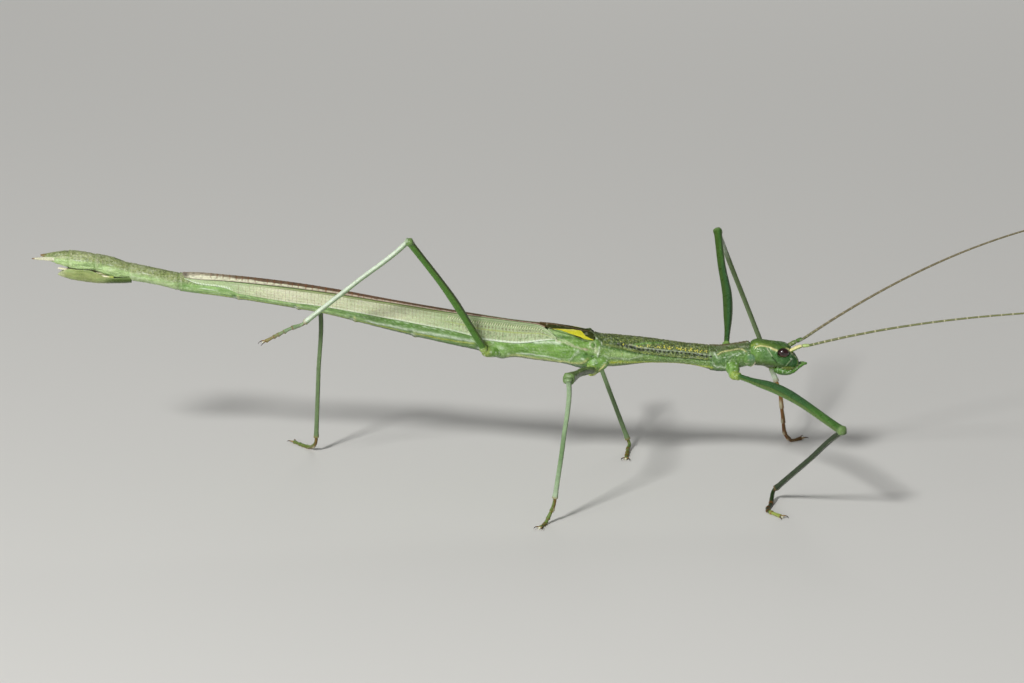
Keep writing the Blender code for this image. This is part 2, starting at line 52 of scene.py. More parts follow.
# The insect's outline with its wings closed: X, height of the middle, half height, half width
BODY_LINE = (
    (-38, 22.22, 0.84, 0.94),
    (-37.2, 22.08, 0.84, 0.96),
    (-35.2, 21.68, 0.82, 0.98),
    (-33.1, 21.19, 0.88, 1.02),
    (-29.1, 20.83, 1.1, 1.18),
    (-24.1, 20.16, 1.24, 1.32),
    (-18.2, 19.16, 1.34, 1.46),
    (-12.9, 17.95, 1.52, 1.57),
    (-6.2, 16.52, 1.74, 1.66),
    (-0.2, 15.41, 1.84, 1.76),
    (5.8, 14.64, 1.88, 1.76),
    (9.8, 14.14, 1.66, 1.42),
    (13.8, 14.11, 1.25, 1.18),
    (17.8, 13.76, 1.05, 1.08),
    (20.6, 13.4, 1.24, 1.12),
    (23.7, 13.8, 1.24, 1.02),
)
TAIL_LINE = (
    (-47, 23.92, 0.05, 0.06),
    (-46.6, 23.87, 0.16, 0.16),
    (-45.84, 23.71, 0.44, 0.46),
    (-44.86, 23.6, 0.7, 0.72),
    (-44.1, 23.53, 0.84, 0.84),
    (-42.7, 23.36, 0.9, 0.92),
    (-41.4, 23.18, 0.83, 0.92),
    (-40.7, 23.00, 0.9, 0.94),
    (-39.7, 22.78, 0.9, 0.94),
    (-38.3, 22.42, 0.74, 0.93),
    (-37.9, 22.34, 0.76, 0.93),
)
NECK_LINE = (
    (23.7, 13.8, 1.18, 0.97), (23.85, 13.8, 1.06, 0.86), (24.1, 13.8, 0.95, 0.8), (24.6, 13.75, 0.7, 0.66),
)
HEAD_LINE = (
    (23.86, 13.86, 1.12, 0.94),
    (24.1, 13.9, 1.25, 1.06),
    (24.4, 13.91, 1.32, 1.16),
    (25.1, 13.86, 1.345, 1.27),
    (25.63, 13.77, 1.365, 1.31),
    (26.5, 13.66, 1.35, 1.32),
    (27.1, 13.59, 1.33, 1.27),
    (27.5, 13.52, 1.27, 1.12),
    (28.00, 13.2, 0.95, 0.88),
    (28.4, 12.97, 0.63, 0.64),
    (28.66, 12.82, 0.34, 0.38),
    (28.76, 12.78, 0.06, 0.08),
)
SEGMENT_EDGES = (-44.05, -41.4, -38, -33.1, -27.4, -21.4, -15.8, -9.8, -3.2, 8.25, 19.75)
# Borders of the folded hindwing: X, lower edge, line where the fan folds under, upper edge
WING_EDGES = (
    (-32.8, 42, 49, 84),
    (-31.9, 26, 43, 86),
    (-31.5, 14, 40, 86),
    (-30.4, 9, 36, 86),
    (-28.9, 5, 37, 86),
    (-28, -2, 38, 87),
    (-27.4, -18, 39, 87),
    (-24.6, -21, 43, 88),
    (-21.7, -21, 48, 88),
    (-19.5, -14, 51, 89),
    (-17.1, -10, 56, 90),
    (-15, -5, 60, 90),
    (-11.2, 1, 66, 90),
    (-6.2, 3, 70, 90),
    (-4.2, -1, 72, 90),
    (-3, -8, 77, 90),
    (-1.4, -5, 81, 90),
    (0.2, -2, 82, 90),
    (1.2, 3, 81, 90),
    (2.6, 14, 77, 90),
    (3.45, 20, 60, 70),
    (4, 24, 42, 60),
    (4.4, 27, 30, 50),
)
WING_TIP, STRIP_ROOT, FAN_ROOT = -32.8, 4.42, 3.3
TEGMEN_TIP, TEGMEN_ROOT = 2.75, 8.15
TEGMEN_FRONT = ((41, 8.15), (49, 8.3), (76, 7.98), (90, 7.65))
TEGMEN_EDGE = ((2.75, 80), (3.4, 70), (4.1, 60), (4.8, 54), (5.8, 48), (6.85, 42), (7.6, 38), (8.1, 41))
BOAT_LINE = (
    (-45.25, 22.00, 21.93, 0.04),
    (-45, 22.16, 21.82, 0.16),
    (-44.7, 22.34, 21.7, 0.3),
    (-44.1, 22.58, 21.5, 0.5),
    (-43.1, 22.54, 21.3, 0.7),
    (-41.6, 22.4, 21.1, 0.82),
    (-41.1, 22.15, 21.06, 0.82),
    (-39.9, 21.78, 21.04, 0.82),
    (-37.9, 21.82, 21.1, 0.8),
)
EYE_PLACE = (27.08, 0.97, 14.09)
EYE_HALVES = (0.59, 0.43, 0.47)
ANTENNA_RIGHT = (
    ((27.7, -0.5, 14.12), (28.95, -0.75, 14.74), (29.69, -0.8, 14.82)),
    ((29.75, -0.8, 14.83), (42.8, -3.4, 18.94), (55.6, -6.6, 20.18), (68.4, -10, 20.96)),
)
ANTENNA_LEFT = (
    ((27.4, 0.5, 14.28), (28.55, 0.75, 14.86), (29.05, 0.8, 15.05)),
    ((29.2, 0.8, 15.09), (42.9, 6.5, 22.99), (57, 12, 26.72), (71.4, 17, 24.27)),
)
# Each leg, insect's right at -Y: coxa root and bend, the femur from its base to the knee, the
# ankle, and the foot from where it bends down to where the claws start
LEGS = {
    "fore_right": (
        ((21.75, -0.3, 12.95), (22.1, -1.05, 12.42)),
        ((22.5, -2.05, 12), (24, -4, 11.97), (25.6, -6.3, 12.05), (31.9, -17.7, 10.8)),
        (26.3, -5.6, 1.4),
        ((25.7, -7.1, 0.24), (25.3, -9.1, 0.22), (26.5, -11.2, 0.22)),
    ),
    "fore_left": (
        ((21.6, 0.5, 13.2), (21.5, 1.35, 13.3)),
        ((21.55, 2.1, 14), (21.8, 5, 15.7), (21.9, 8, 17.3), (21.5, 13.2, 19.6), (21.3, 18.4, 21.92)),
        (27.4, 14.4, 6.8),
        ((28.1, 14.8, 3.2), (28.6, 15.2, 0.7), (29.1, 15.6, 0.22), (30.2, 16.4, 0.22)),
    ),
    "middle_right": (
        ((8.9, -0.3, 13.3), (8.5, -1.25, 12.72)),
        ((7.95, -2.35, 12.7), (6.8, -8, 14), (5.5, -13.8, 14.95)),
        (4.2, -13.05, 2.6),
        ((3.7, -13, 0.9), (3.3, -13.4, 0.24), (2.75, -14.8, 0.22)),
    ),
    "middle_left": (
        ((8.7, 0.7, 13.7), (8.45, 1.6, 12.75)),
        ((8.15, 2.35, 12.65), (8.05, 8, 12.6), (7.85, 14.3, 12)),
        (12, 13, 1),
        ((12, 12.1, 0.35), (11.9, 11, 0.22), (11.7, 9, 0.22)),
    ),
    "hind_right": (
        ((-0.7, -0.6, 14.65), (-1.9, -1.5, 14.38)),
        ((-2.8, -2.3, 14.9), (-6, -6.4, 21.3), (-10, -11, 28)),
        (-20.5, -3.85, 18),
        ((-21.7, -4, 17.5), (-22.9, -4.4, 17), (-24.4, -5, 16.35)),
    ),
    "hind_left": (
        ((-0.9, 0.7, 14.6), (-2.1, 1.75, 13.9)),
        ((-2.9, 2.35, 13.8), (-11, 4.4, 15.6), (-19.35, 6.15, 17.1)),
        (-20.2, 11.3, 1.75),
        ((-20.6, 12.3, 0.5), (-21.4, 13.4, 0.22), (-22.7, 15.1, 0.22)),
    ),
}
# Half thickness by pair: coxa root and end, femur base, middle and knee, tibia
THICKNESS = {
    "fore": (0.72, 0.48, 0.27, 0.5, 0.44, 0.28),
    "middle": (0.5, 0.42, 0.36, 0.4, 0.58, 0.26),
    "hind": (0.66, 0.48, 0.34, 0.38, 0.35, 0.245),
}
# The middle coxa's broad cone: its middle line, and share along, half length along X and half breadth
CONE_LINE = ((8.7, 0.55, 13.7), (8.42, 1, 13.1), (8.02, 1.42, 12.45), (7.66, 1.72, 11.96))
CONE_SIZE = ((0, 1.35, 0.72), (0.35, 1.16, 0.66), (0.7, 0.66, 0.5), (1, 0.36, 0.32))
NEARLY_UP = (0.05, 0.02, 1)  # the upper side of feet and mouth parts, never along their paths
FOOT_JOINTS = (0, 0.36, 0.56, 0.7, 0.8, 1)

# Colours of the living insect, read and named for what they are like
# Some dark greens, deep, under and shin dark above all, are also laid as painted shade on undersides and on
# shaded legs.
PIGMENTS = {
    "tail grey": "929E62",
    "tail green": "A8C084",
    "tail light": "B8D490",
    "meadow": "7AA44C",
    "reed": "7E8A50",
    "bone": "ECE6C4",
    "fresh": "8EB26A",
    "leaf": "6C9244",
    "moss": "76964E",
    "deep": "2C5518",
    "olive": "4E5C36",
    "bark": "4C3524",
    "umber": "281D12",
    "cream": "D0D0B2",
    "straw": "E2DA98",
    "grain": "A6B458",
    "sulphur": "CCC832",
    "chalk": "E2EEDA",
    "ink": "10170A",
    "dusk": "DADABC",
    "rose": "B8A08E",
    "fan brown": "54381E",
    "teal": "3A6A34",
    "sage": "64864C",
    "net brown": "8A6C4C",
    "strip green": "A0B684",
    "brow": "567230",
    "lobe teal": "6A9474",
    "under": "3E5416",
    "leg green": "446C26",
    "hind green": "4C7A28",
    "leg teal": "345A32",
    "leg olive": "5E6C2E",
    "knee": "708A54",
    "shin": "869C78",
    "shin dark": "26381A",
    "tan": "94743F",
    "rust": "7A461E",
    "claw": "2A1C12",
    "feeler": "7A7256",
    "acid": "B4C040",
    "eye": "26090C",
}


def linear(hex_colour):
    """An sRGB hex colour as linear red, green and blue."""
    parts = np.array([int(hex_colour[i : i + 2], 16) / 255 for i in (0, 2, 4)])
    return np.where(parts <= 0.04045, parts / 12.92, ((parts + 0.055) / 1.055) ** 2.4)


def pigment(name):
    """A named pigment as linear red, green and blue."""
    return linear(PIGMENTS[name])


def laid(ground, mask, name):
    """Tints with a pigment laid over them as strongly as the mask says, from 0 to 1."""
    mask = np.clip(np.asarray(mask, float), 0, 1)[..., None]
    return ground * (1 - mask) + pigment(name) * mask


def layered(ground, *layers):
    """Tints with pigments laid over them in turn: each layer is its mask and the pigment's name."""
    for mask, name in layers:
        ground = laid(ground, mask, name)
    return ground


def all_over(name, shape):
    """One pigment at every place of a grid."""
    return np.broadcast_to(pigment(name), (*shape, 3))


def bell(value, middle, width):
    """A bell curve: 1 in its middle, about a third at its width from there."""
    return np.exp(-(((value - middle) / width) ** 2))


def ramp(value, start, end):
    """A smooth step from 0 at the start to 1 at the end, which may lie before the start."""
    share = np.clip((np.asarray(value, float) - start) / (end - start), 0, 1)
    return share * share * (3 - 2 * share)


def smooth(rows):
    """A reader of rows (place, value, ...): cubic between neighbours, level past the ends."""
    rows = np.array(rows, float)
    at, values = rows[:, 0], rows[:, 1:]
    slopes = np.gradient(values, at, axis=0)

    def read(x):
        x = np.clip(np.asarray(x, float), at[0], at[-1])
        i = np.clip(np.searchsorted(at, x) - 1, 0, len(at) - 2)
        span = (at[i + 1] - at[i])[..., None]
        t = (x - at[i])[..., None] / span
        return (
            values[i] * (1 + 2 * t) * (1 - t) ** 2
            + slopes[i] * span * t * (1 - t) ** 2
            + values[i + 1] * t * t * (3 - 2 * t)
            + slopes[i + 1] * span * t * t * (t - 1)
        )

    return read


def unit(vectors):
    """Vectors at length one."""
    vectors = np.asarray(vectors, float)
    return vectors / np.linalg.norm(vectors, axis=-1, keepdims=True)


def route(points, count):
    """Evenly spaced points on a smooth curve through the given ones."""
    points = np.array(points, float)
    run = np.concatenate(([0], np.cumsum(np.linalg.norm(np.diff(points, axis=0), axis=1))))
    return smooth(np.column_stack((run, points)))(np.linspace(0, run[-1], count))


def bezier(handles, count):
    """Points on the cubic curve of four handles."""
    a, b, c, d = (np.array(h, float) for h in handles)
    t = np.linspace(0, 1, count)[:, None]
    return a * (1 - t) ** 3 + 3 * b * t * (1 - t) ** 2 + 3 * c * t * t * (1 - t) + d * t**3


def ripple(points, size, seed=0):
    """Soft random values from -1 to 1: random numbers at the corners of cubes, blended between them."""
    place = np.asarray(points, float) / size
    cell = np.floor(place).astype(np.int64)
    part = place - cell
    part = part * part * (3 - 2 * part)
    table = np.random.default_rng(seed).uniform(-1, 1, 4096)
    total = 0.0
    for corner in np.ndindex(2, 2, 2):
        key = (cell + corner) * (73856093, 19349663, 83492791)
        share = np.where(np.array(corner, bool), part, 1 - part).prod(axis=-1)
        total = total + share * table[(key[..., 0] ^ key[..., 1] ^ key[..., 2]) & 4095]
    return total


def grids(*values):
    """Values as arrays of one shape."""
    return np.broadcast_arrays(*(np.asarray(value, float) for value in values))


def stroke(x, angle, path, width, radius=1.25):
    """How near a place is to a drawn line: a bell that is 1 on the line and fades over its width.

    The line runs through places of X and angle, and the distance is in mm on a round body.
    """
    turn = radius * ARC
    nearest = np.full(np.shape(x), np.inf)
    for (x0, a0), (x1, a1) in zip(path, path[1:]):
        run, climb = x1 - x0, (a1 - a0) * turn
        dx, dy = x - x0, (angle - a0) * turn
        t = np.clip((dx * run + dy * climb) / (run * run + climb * climb), 0, 1)
        nearest = np.minimum(nearest, (dx - t * run) ** 2 + (dy - t * climb) ** 2)
    return np.exp(-nearest / width**2)


def outward(points, groups):
    """Face groups, all turned over if the volume that they enclose is negative."""
    volume = 0.0
    for group in groups:
        for k in range(1, group.shape[1] - 1):
            a, b, c = points[group[:, 0]], points[group[:, k]], points[group[:, k + 1]]
            volume += np.einsum("ij,ij->", a - points[0], np.cross(b - points[0], c - points[0]))
    return [group[:, ::-1] for group in groups] if volume < 0 else groups


def closed_skin(points, tint):
    """A part from a grid whose columns run round it: four-cornered faces, and a fan over each end."""
    rows, columns = points.shape[:2]
    index = np.arange(rows * columns).reshape(rows, columns)
    beside = np.roll(index, -1, axis=1)
    sides = np.stack((index[:-1], beside[:-1], beside[1:], index[1:]), axis=-1).reshape(-1, 4)
    hub = rows * columns
    first = np.stack((beside[0], index[0], np.full(columns, hub)), axis=-1)
    last = np.stack((index[-1], beside[-1], np.full(columns, hub + 1)), axis=-1)
    flat = np.concatenate((points.reshape(-1, 3), points[[0, -1]].mean(axis=1)))
    tint = np.broadcast_to(tint, points.shape)
    tints = np.concatenate((tint.reshape(-1, 3), tint[[0, -1]].mean(axis=1)))
    return flat, outward(flat, [sides, np.concatenate((first, last))]), tints


def closed_sheet(outer, inner, tint_out, tint_in):
    """A part between two grids of points, with a rim of four-cornered faces round them."""
    rows, columns = outer.shape[:2]
    index = np.arange(rows * columns).reshape(rows, columns)
    top = np.stack((index[:-1, :-1], index[1:, :-1], index[1:, 1:], index[:-1, 1:]), axis=-1).reshape(-1, 4)
    under = rows * columns
    rim = np.concatenate((index[:, 0], index[-1, 1:], index[-2::-1, -1], index[0, -2:0:-1]))
    after = np.roll(rim, -1)
    edge = np.stack((after, rim, rim + under, after + under), axis=-1)
    flat = np.concatenate((outer.reshape(-1, 3), inner.reshape(-1, 3)))
    tints = np.concatenate((tint_out.reshape(-1, 3), tint_in.reshape(-1, 3)))
    return flat, outward(flat, [top, top[:, ::-1] + under, edge]), tints


def mirrored(part):
    """The same part on the other side of the insect, its faces turned to point out again."""
    points, groups, tints = part
    return points * (1, -1, 1), [group[:, ::-1] for group in groups], tints


def piece(name, parts, finish, nodes, patches=None):
    """One object from closed parts. It rides on the model and stands for the CAD nodes named."""
    points = (np.concatenate([part[0] for part in parts]) - MODEL_SHIFT) * MM
    tints = np.concatenate([part[2] for part in parts])
    offsets = np.cumsum([0] + [len(part[0]) for part in parts])
    groups = [group + at for part, at in zip(parts, offsets) for group in part[1]]
    corners = np.concatenate([group.ravel() for group in groups])
    sizes = np.concatenate([np.full(len(group), group.shape[1]) for group in groups])
    mesh = bpy.data.meshes.new(name)
    mesh.vertices.add(len(points))
    mesh.vertices.foreach_set("co", points.ravel())
    mesh.loops.add(len(corners))
    mesh.loops.foreach_set("vertex_index", corners.astype(np.int32))
    mesh.polygons.add(len(sizes))
    mesh.polygons.foreach_set("loop_start", (np.cumsum(sizes) - sizes).astype(np.int32))
    mesh.update(calc_edges=True)
    mesh.shade_smooth()
    layer = mesh.attributes.new("tint", "FLOAT_COLOR", "POINT")
    layer.data.foreach_set("color", np.column_stack((tints, np.ones(len(tints)))).ravel())
    if patches is not None:
        unwrapped = mesh.uv_layers.new(name="OFBake")
        unwrapped.uv.foreach_set("vector", patches[corners].ravel())
    mesh.materials.append(finish)
    made = bpy.data.objects.new(name, mesh)
    bpy.context.scene.collection.objects.link(made)
    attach(made, "root")
    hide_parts(*nodes)
    return made


def add(tree, kind, sockets=None, **settings):
    """Adds one node: its sockets get a constant or another node's output, its settings are set."""
    made = tree.nodes.new("ShaderNode" + kind)
    for key, value in settings.items():
        setattr(made, key, value)
    for key, value in (sockets or {}).items():
        if isinstance(value, bpy.types.NodeSocket):
            tree.links.new(value, made.inputs[key])
        else:
            made.inputs[key].default_value = value
    return made


def per_mm(size):
    """A texture's scale for features of a size in millimetres."""
    return 1 / (size * MM)


def chitin(name, mottle, depth, cell, relief, roughness, spread=0.12, wax=0, inner=0, shine=0.28, polish=0.15):
    """Insect shell: the piece's own tint, clouded by a soft mottle and by the tiny cells of the shell.

    mottle and cell are sizes in mm, depth is how much the mottle lightens and darkens, relief how far
    the cells stand up in mm, spread how much the roughness varies. wax is a clear coat, inner light
    that scatters inside, shine the strength of the glints, polish the roughness of the coat.
    """
    material = bpy.data.materials.new(name)
    material.use_nodes = True
    tree = material.node_tree
    shader = tree.nodes["Principled BSDF"]
    place = add(tree, "TexCoord").outputs["Object"]
    tint = add(tree, "Attribute", attribute_name="tint").outputs["Color"]
    cloud = add(tree, "TexNoise", {"Vector": place, "Scale": per_mm(mottle), "Detail": 5.0, "Roughness": 0.6})
    level = add(tree, "MapRange", {"Value": cloud.outputs["Fac"], 1: 0.3, 2: 0.7, 3: 1 - depth, 4: 1 + depth})
    cells = add(tree, "TexVoronoi", {"Vector": place, "Scale": per_mm(cell)}, feature="F1")
    seams = add(tree, "MapRange", {"Value": cells.outputs["Distance"], 1: 0.2, 2: 0.75, 3: 1.04, 4: 0.86})
    both = add(tree, "Math", {0: level.outputs[0], 1: seams.outputs[0]}, operation="MULTIPLY")
    shade = add(tree, "VectorMath", {0: tint, "Scale": both.outputs[0]}, operation="SCALE")
    tree.links.new(shade.outputs[0], shader.inputs["Base Color"])
    gloss = add(
        tree,
        "MapRange",
        {"Value": cloud.outputs["Fac"], 1: 0.3, 2: 0.7, 3: roughness - spread, 4: roughness + spread},
    )
    tree.links.new(gloss.outputs[0], shader.inputs["Roughness"])
    dome = add(tree, "MapRange", {"Value": cells.outputs["Distance"], 1: 0, 2: 0.8, 3: 1, 4: 0.0})
    bump = add(tree, "Bump", {"Height": dome.outputs[0], "Distance": relief * MM, "Strength": 1.0})
    tree.links.new(bump.outputs[0], shader.inputs["Normal"])
    shader.inputs["IOR"].default_value = 1.56
    shader.inputs["Specular IOR Level"].default_value = shine
    shader.inputs["Coat Weight"].default_value = wax
    shader.inputs["Coat Roughness"].default_value = polish
    shader.inputs["Subsurface Weight"].default_value = inner
    shader.inputs["Subsurface Radius"].default_value = (0.6, 1, 0.3)
    shader.inputs["Subsurface Scale"].default_value = 0.3 * MM
    return material


# Soft living cuticle with a bloom of wax: satin, finely celled, light glows a little in its thin edges
BODY_SHELL = chitin("waxy_body_cuticle", 0.9, 0.12, 0.13, 0.022, 0.34, inner=0.08)
# The head's harder capsule is smoother, so it throws small sharp glints
HEAD_SHELL = chitin("polished_head_capsule", 0.6, 0.12, 0.12, 0.016, 0.27, inner=0.08)
# Leathery front strip of the wing, pressed flat: dull with a faint silk
WING_LEATHER = chitin("leathery_wing_strip", 0.5, 0.08, 0.11, 0.014, 0.4, inner=0.12)
# The forewing is tougher and darker leather, nearly matt
FOREWING_SHELL = chitin("matt_forewing_leather", 0.5, 0.1, 0.11, 0.014, 0.55, inner=0.02, shine=0.15)
# The fan is a thin membrane folded like a paper fan: slightly glassy along its pleats
WING_FAN = chitin("folded_fan_membrane", 0.4, 0.12, 0.12, 0.004, 0.52, inner=0.05, shine=0.2)
# Legs are drawn-out tubes of cuticle with keels: satin, streaked along
LEG_SHELL = chitin("ribbed_leg_cuticle", 0.6, 0.12, 0.1, 0.01, 0.34, inner=0.08)
# Feet and claws are tanned hard and brown, a little polished by walking
FOOT_SHELL = chitin("tanned_foot_cuticle", 0.3, 0.16, 0.06, 0.006, 0.4, inner=0.05)
# Antennae are dry beaded threads
FEELER_SHELL = chitin("dry_feeler_cuticle", 0.4, 0.14, 0.06, 0.006, 0.5)
# A compound eye: clear cornea over dark pigment. Its facets are 0.025 mm and drawn at 0.05 to show
EYE_CORNEA = chitin(
    "faceted_eye_cornea", 0.5, 0.15, 0.05, 0.006, 0.22, spread=0.04, wax=1, shine=0.3, polish=0.07,
)
# Bristles are clear pale chitin spun to a point
BRISTLE = chitin("pale_bristle", 0.3, 0.05, 0.1, 0.001, 0.35)

read_trunk = smooth(BODY_LINE)
read_tail = smooth(TAIL_LINE)
read_neck = smooth(NECK_LINE)
read_head = smooth(HEAD_LINE)
TAIL_JOINT = -38.0
NECK_JOINT = 23.7


def read_body(x):
    """Middle height, half height and half width of the body at X, from its tail to inside the head."""
    x = np.asarray(x, float)
    step = ramp(x, TAIL_JOINT - 0.15, TAIL_JOINT + 0.1)[..., None]
    trunk = read_tail(x) * (1 - step) + read_trunk(x) * step
    return np.where((x > NECK_JOINT)[..., None], read_neck(x), trunk)


def straight(rows, x, column=1):
    """A value between rows on straight lines, its corners rounded over half a millimetre."""
    rows = np.array(rows, float)
    x = np.asarray(x, float)
    return np.mean([np.interp(x + d, rows[:, 0], rows[:, column]) for d in (-0.4, -0.2, 0, 0.2, 0.4)], axis=0)


def side_angle(turn):
    """A turn round the body as degrees above its side, the same on the left and on the right."""
    turn = (np.asarray(turn, float) + 180) % 360 - 180
    return np.where(np.abs(turn) <= 90, turn, np.sign(turn) * 180 - turn)


def oval(read, x, turn, out=0):
    """Points on an upright oval round the middle line at X, moved out from it by a distance."""
    x, turn, out = grids(x, turn, out)
    middle, tall, wide = np.moveaxis(read(x), -1, 0)
    return np.stack(
        (x, (wide + out) * np.cos(turn * ARC), middle + (tall + out) * np.sin(turn * ARC)), axis=-1
    )


def wing_cover(x, angle):
    """How deep the body lies under the folded wings: not at all below their edge, 0.45 mm at the back."""
    lower = np.where(x < 3.6, straight(WING_EDGES, x), straight(TEGMEN_EDGE, x))
    depth = 0.17 + 0.28 * ramp(angle, lower, lower + 60)
    front = np.interp(angle, *zip(*TEGMEN_FRONT))
    along = ramp(x, -32.7, -32.2) * ramp(x - front, 0.05, -0.1)
    return depth * along * ramp(angle, lower - 4, lower + 3)


def loop(x, angle, along, across):
    """A ring of places round a spot, its half sizes in mm."""
    turn = np.arange(0, 390, 30) * ARC
    return tuple(zip(x + along * np.cos(turn), angle + across * np.sin(turn) / (1.25 * ARC)))


# Lines on the body: places of X and angle, half width, how far it stands up, pigment and strength
GROOVE = (
    (8.96, 26), (10.16, 20), (11.46, 9), (12.35, -2), (13.4, -10), (15, -16), (16.9, -21), (18.8, -16),
    (20, -8),
)
DASH_STEP = 0.42
DASH_LINE = ((10.4, 36), (11.2, 32), (12.17, 24), (12.66, 16), (13.4, 14), (16.8, 12), (18.8, 14), (19.9, 12))
WEDGE = ((12.2, 34), (13, 42), (13.8, 48), (15, 60))
PALE_SIDE = ((-14.5, -35), (-13.2, -34), (-10, -26), (-8.7, -25), (-6.2, -22), (-3.8, -20))
BODY_LINES = (
    (GROOVE, 0.11, -0.13, "deep", 0.95),
    (
        ((9, 32), (10.2, 27), (11.5, 17), (13.2, 0), (15, -8), (16.9, -13), (19.6, -2)), 0.09, 0.03, "grain",
        0.3,
    ),
    (((9.18, -6), (9.64, -16), (10.8, -20), (11.91, -24), (12.94, -15)), 0.08, 0.02, "chalk", 0.35),
    (((9.83, -36), (11.25, -40), (13.8, -60), (17.81, -70), (19.95, -46)), 0.15, 0.05, "acid", 1),
    (((11.73, 37), (12.37, 29), (13.02, 22), (13.56, 23)), 0.07, 0.05, "cream", 0.7),
    (((8.92, 44), (9.38, 41), (9.9, 38), (10.5, 38)), 0.05, -0.03, "deep", 0.5),
    (
        (
            (20.55, 24), (20.84, 34), (21.26, 40), (21.67, 42), (22.29, 42), (22.83, 40), (23.11, 32),
            (23.36, 22),
        ),
        0.075, 0.07, "straw", 0.95,
    ),
    (((20.5, 16), (21.1, 31), (21.9, 34), (22.9, 30)), 0.1, -0.07, "leaf", 0.5),
    (((20.22, 33), (20.51, 8)), 0.07, 0.03, "chalk", 0.7),
    (((20.19, -28), (20.53, -40), (20.74, -34), (21.28, -39), (21.43, -29)), 0.08, 0.05, "chalk", 0.6),
    (((21.59, 8), (21.96, 14), (22.37, 22)), 0.06, 0.03, "chalk", 0.4),
    (((21.48, -24), (21.67, -4), (21.96, 10), (22.29, 0), (22.51, -22)), 0.08, -0.06, "deep", 0.6),
    (((20.67, -10), (21.17, -2), (21.47, 11)), 0.18, 0, "teal", 0.6),
    (((23.17, 35), (23.41, 22), (23.56, 33), (23.76, 16), (24.01, 28), (24.06, 13)), 0.045, -0.04, "ink", 0.6),
    (((19.8, 88), (22, 90), (23.7, 90)), 0.2, 0.02, "net brown", 0.45),
    (((-18, -22), (-13.2, -15), (-9.75, -10), (-6.2, -8), (-4.2, -12)), 0.2, -0.02, "leg green", 0.5),
    (PALE_SIDE, 0.11, 0.04, "chalk", 0.85),
    (((-32.5, -28), (-17.1, -36), (-14.5, -35)), 0.08, 0.03, "tail light", 0.5),
    (WEDGE, 0.13, 0.04, "meadow", 0.75),
    (
        (
            (-31, -50), (-17.1, -56), (-13.2, -48), (-9.97, -46), (-9.17, -38), (-7.18, -40), (-5.18, -34),
            (-3.79, -28),
        ),
        0.06, 0.02, "sulphur", 0.65,
    ),
    (((2.2, 11), (3.41, 14), (4.05, 16), (4.8, 18)), 0.1, 0.04, "chalk", 0.65),
    (((0.45, -38), (1.8, -33), (3.3, -33), (4.8, -39)), 0.06, 0.03, "chalk", 0.85),
    (((-0.4, -52), (0.39, -47), (1.6, -50), (2.77, -51), (4.79, -51)), 0.13, 0.06, "straw", 0.6),
    (((0, -62), (2, -64), (4.6, -64)), 0.14, -0.02, "grain", 0.6),
    (((4.79, -50), (5.82, -51), (6.63, -47), (7.24, -36), (7.54, -24)), 0.09, 0.07, "straw", 0.8),
    (((3.45, 60), (3.95, 42), (4.42, 26)), 0.06, 0.04, "cream", 0.8),
    (((4.4, 33), (4.78, 31), (6.1, 15)), 0.05, 0.03, "cream", 0.6),
    (((4.4, 24), (4.78, 22), (6.12, 10), (6.9, 7)), 0.06, 0.04, "cream", 0.75),
    (((4.6, 34), (5.16, 36), (5.93, 38), (7.08, 38)), 0.08, -0.05, "leg green", 0.65),
    (((6.62, 0), (6.1, -22), (5.67, -42)), 0.06, 0.04, "chalk", 0.45),
    (((6.85, -8), (6.3, -26), (5.94, -42)), 0.05, -0.03, "leg green", 0.5),
    (loop(8.07, 22, 0.3, 0.26), 0.055, 0.05, "cream", 0.75),
    # painted glint: a chalk streak on the thorax's side near the middle coxa
    (((8.73, 16), (8.62, 0), (8.52, -13)), 0.06, 0.04, "chalk", 0.8),
    (((8.61, -12), (9.11, -13), (9.76, -18), (10.78, -20)), 0.06, -0.04, "deep", 0.5),
    (((8.9, 38), (8.95, 28)), 0.05, 0.03, "chalk", 0.6),
    (((6.8, 40), (7.3, 35), (7.6, 34)), 0.06, -0.05, "umber", 0.9),
    (((13.4, 20), (16.8, 18), (18.8, 20), (19.8, 18)), 0.045, 0.02, "chalk", 0.55),
    (((-43.6, -25), (-41.5, -30)), 0.06, -0.05, "leaf", 0.3),
    (((-41.2, -33), (-39.9, -36), (-38.3, -58)), 0.06, -0.06, "leaf", 0.4),
    (((-37.8, -2), (-33.4, -8)), 0.1, -0.02, "fresh", 0.5),
    # painted glint: a chalk streak near the wing strip's tip
    (((-31, -10), (-29.6, -15)), 0.07, 0.04, "chalk", 0.6),
    (((23.35, -5), (23.45, -22), (23.3, -38)), 0.05, -0.05, "deep", 0.6),
)
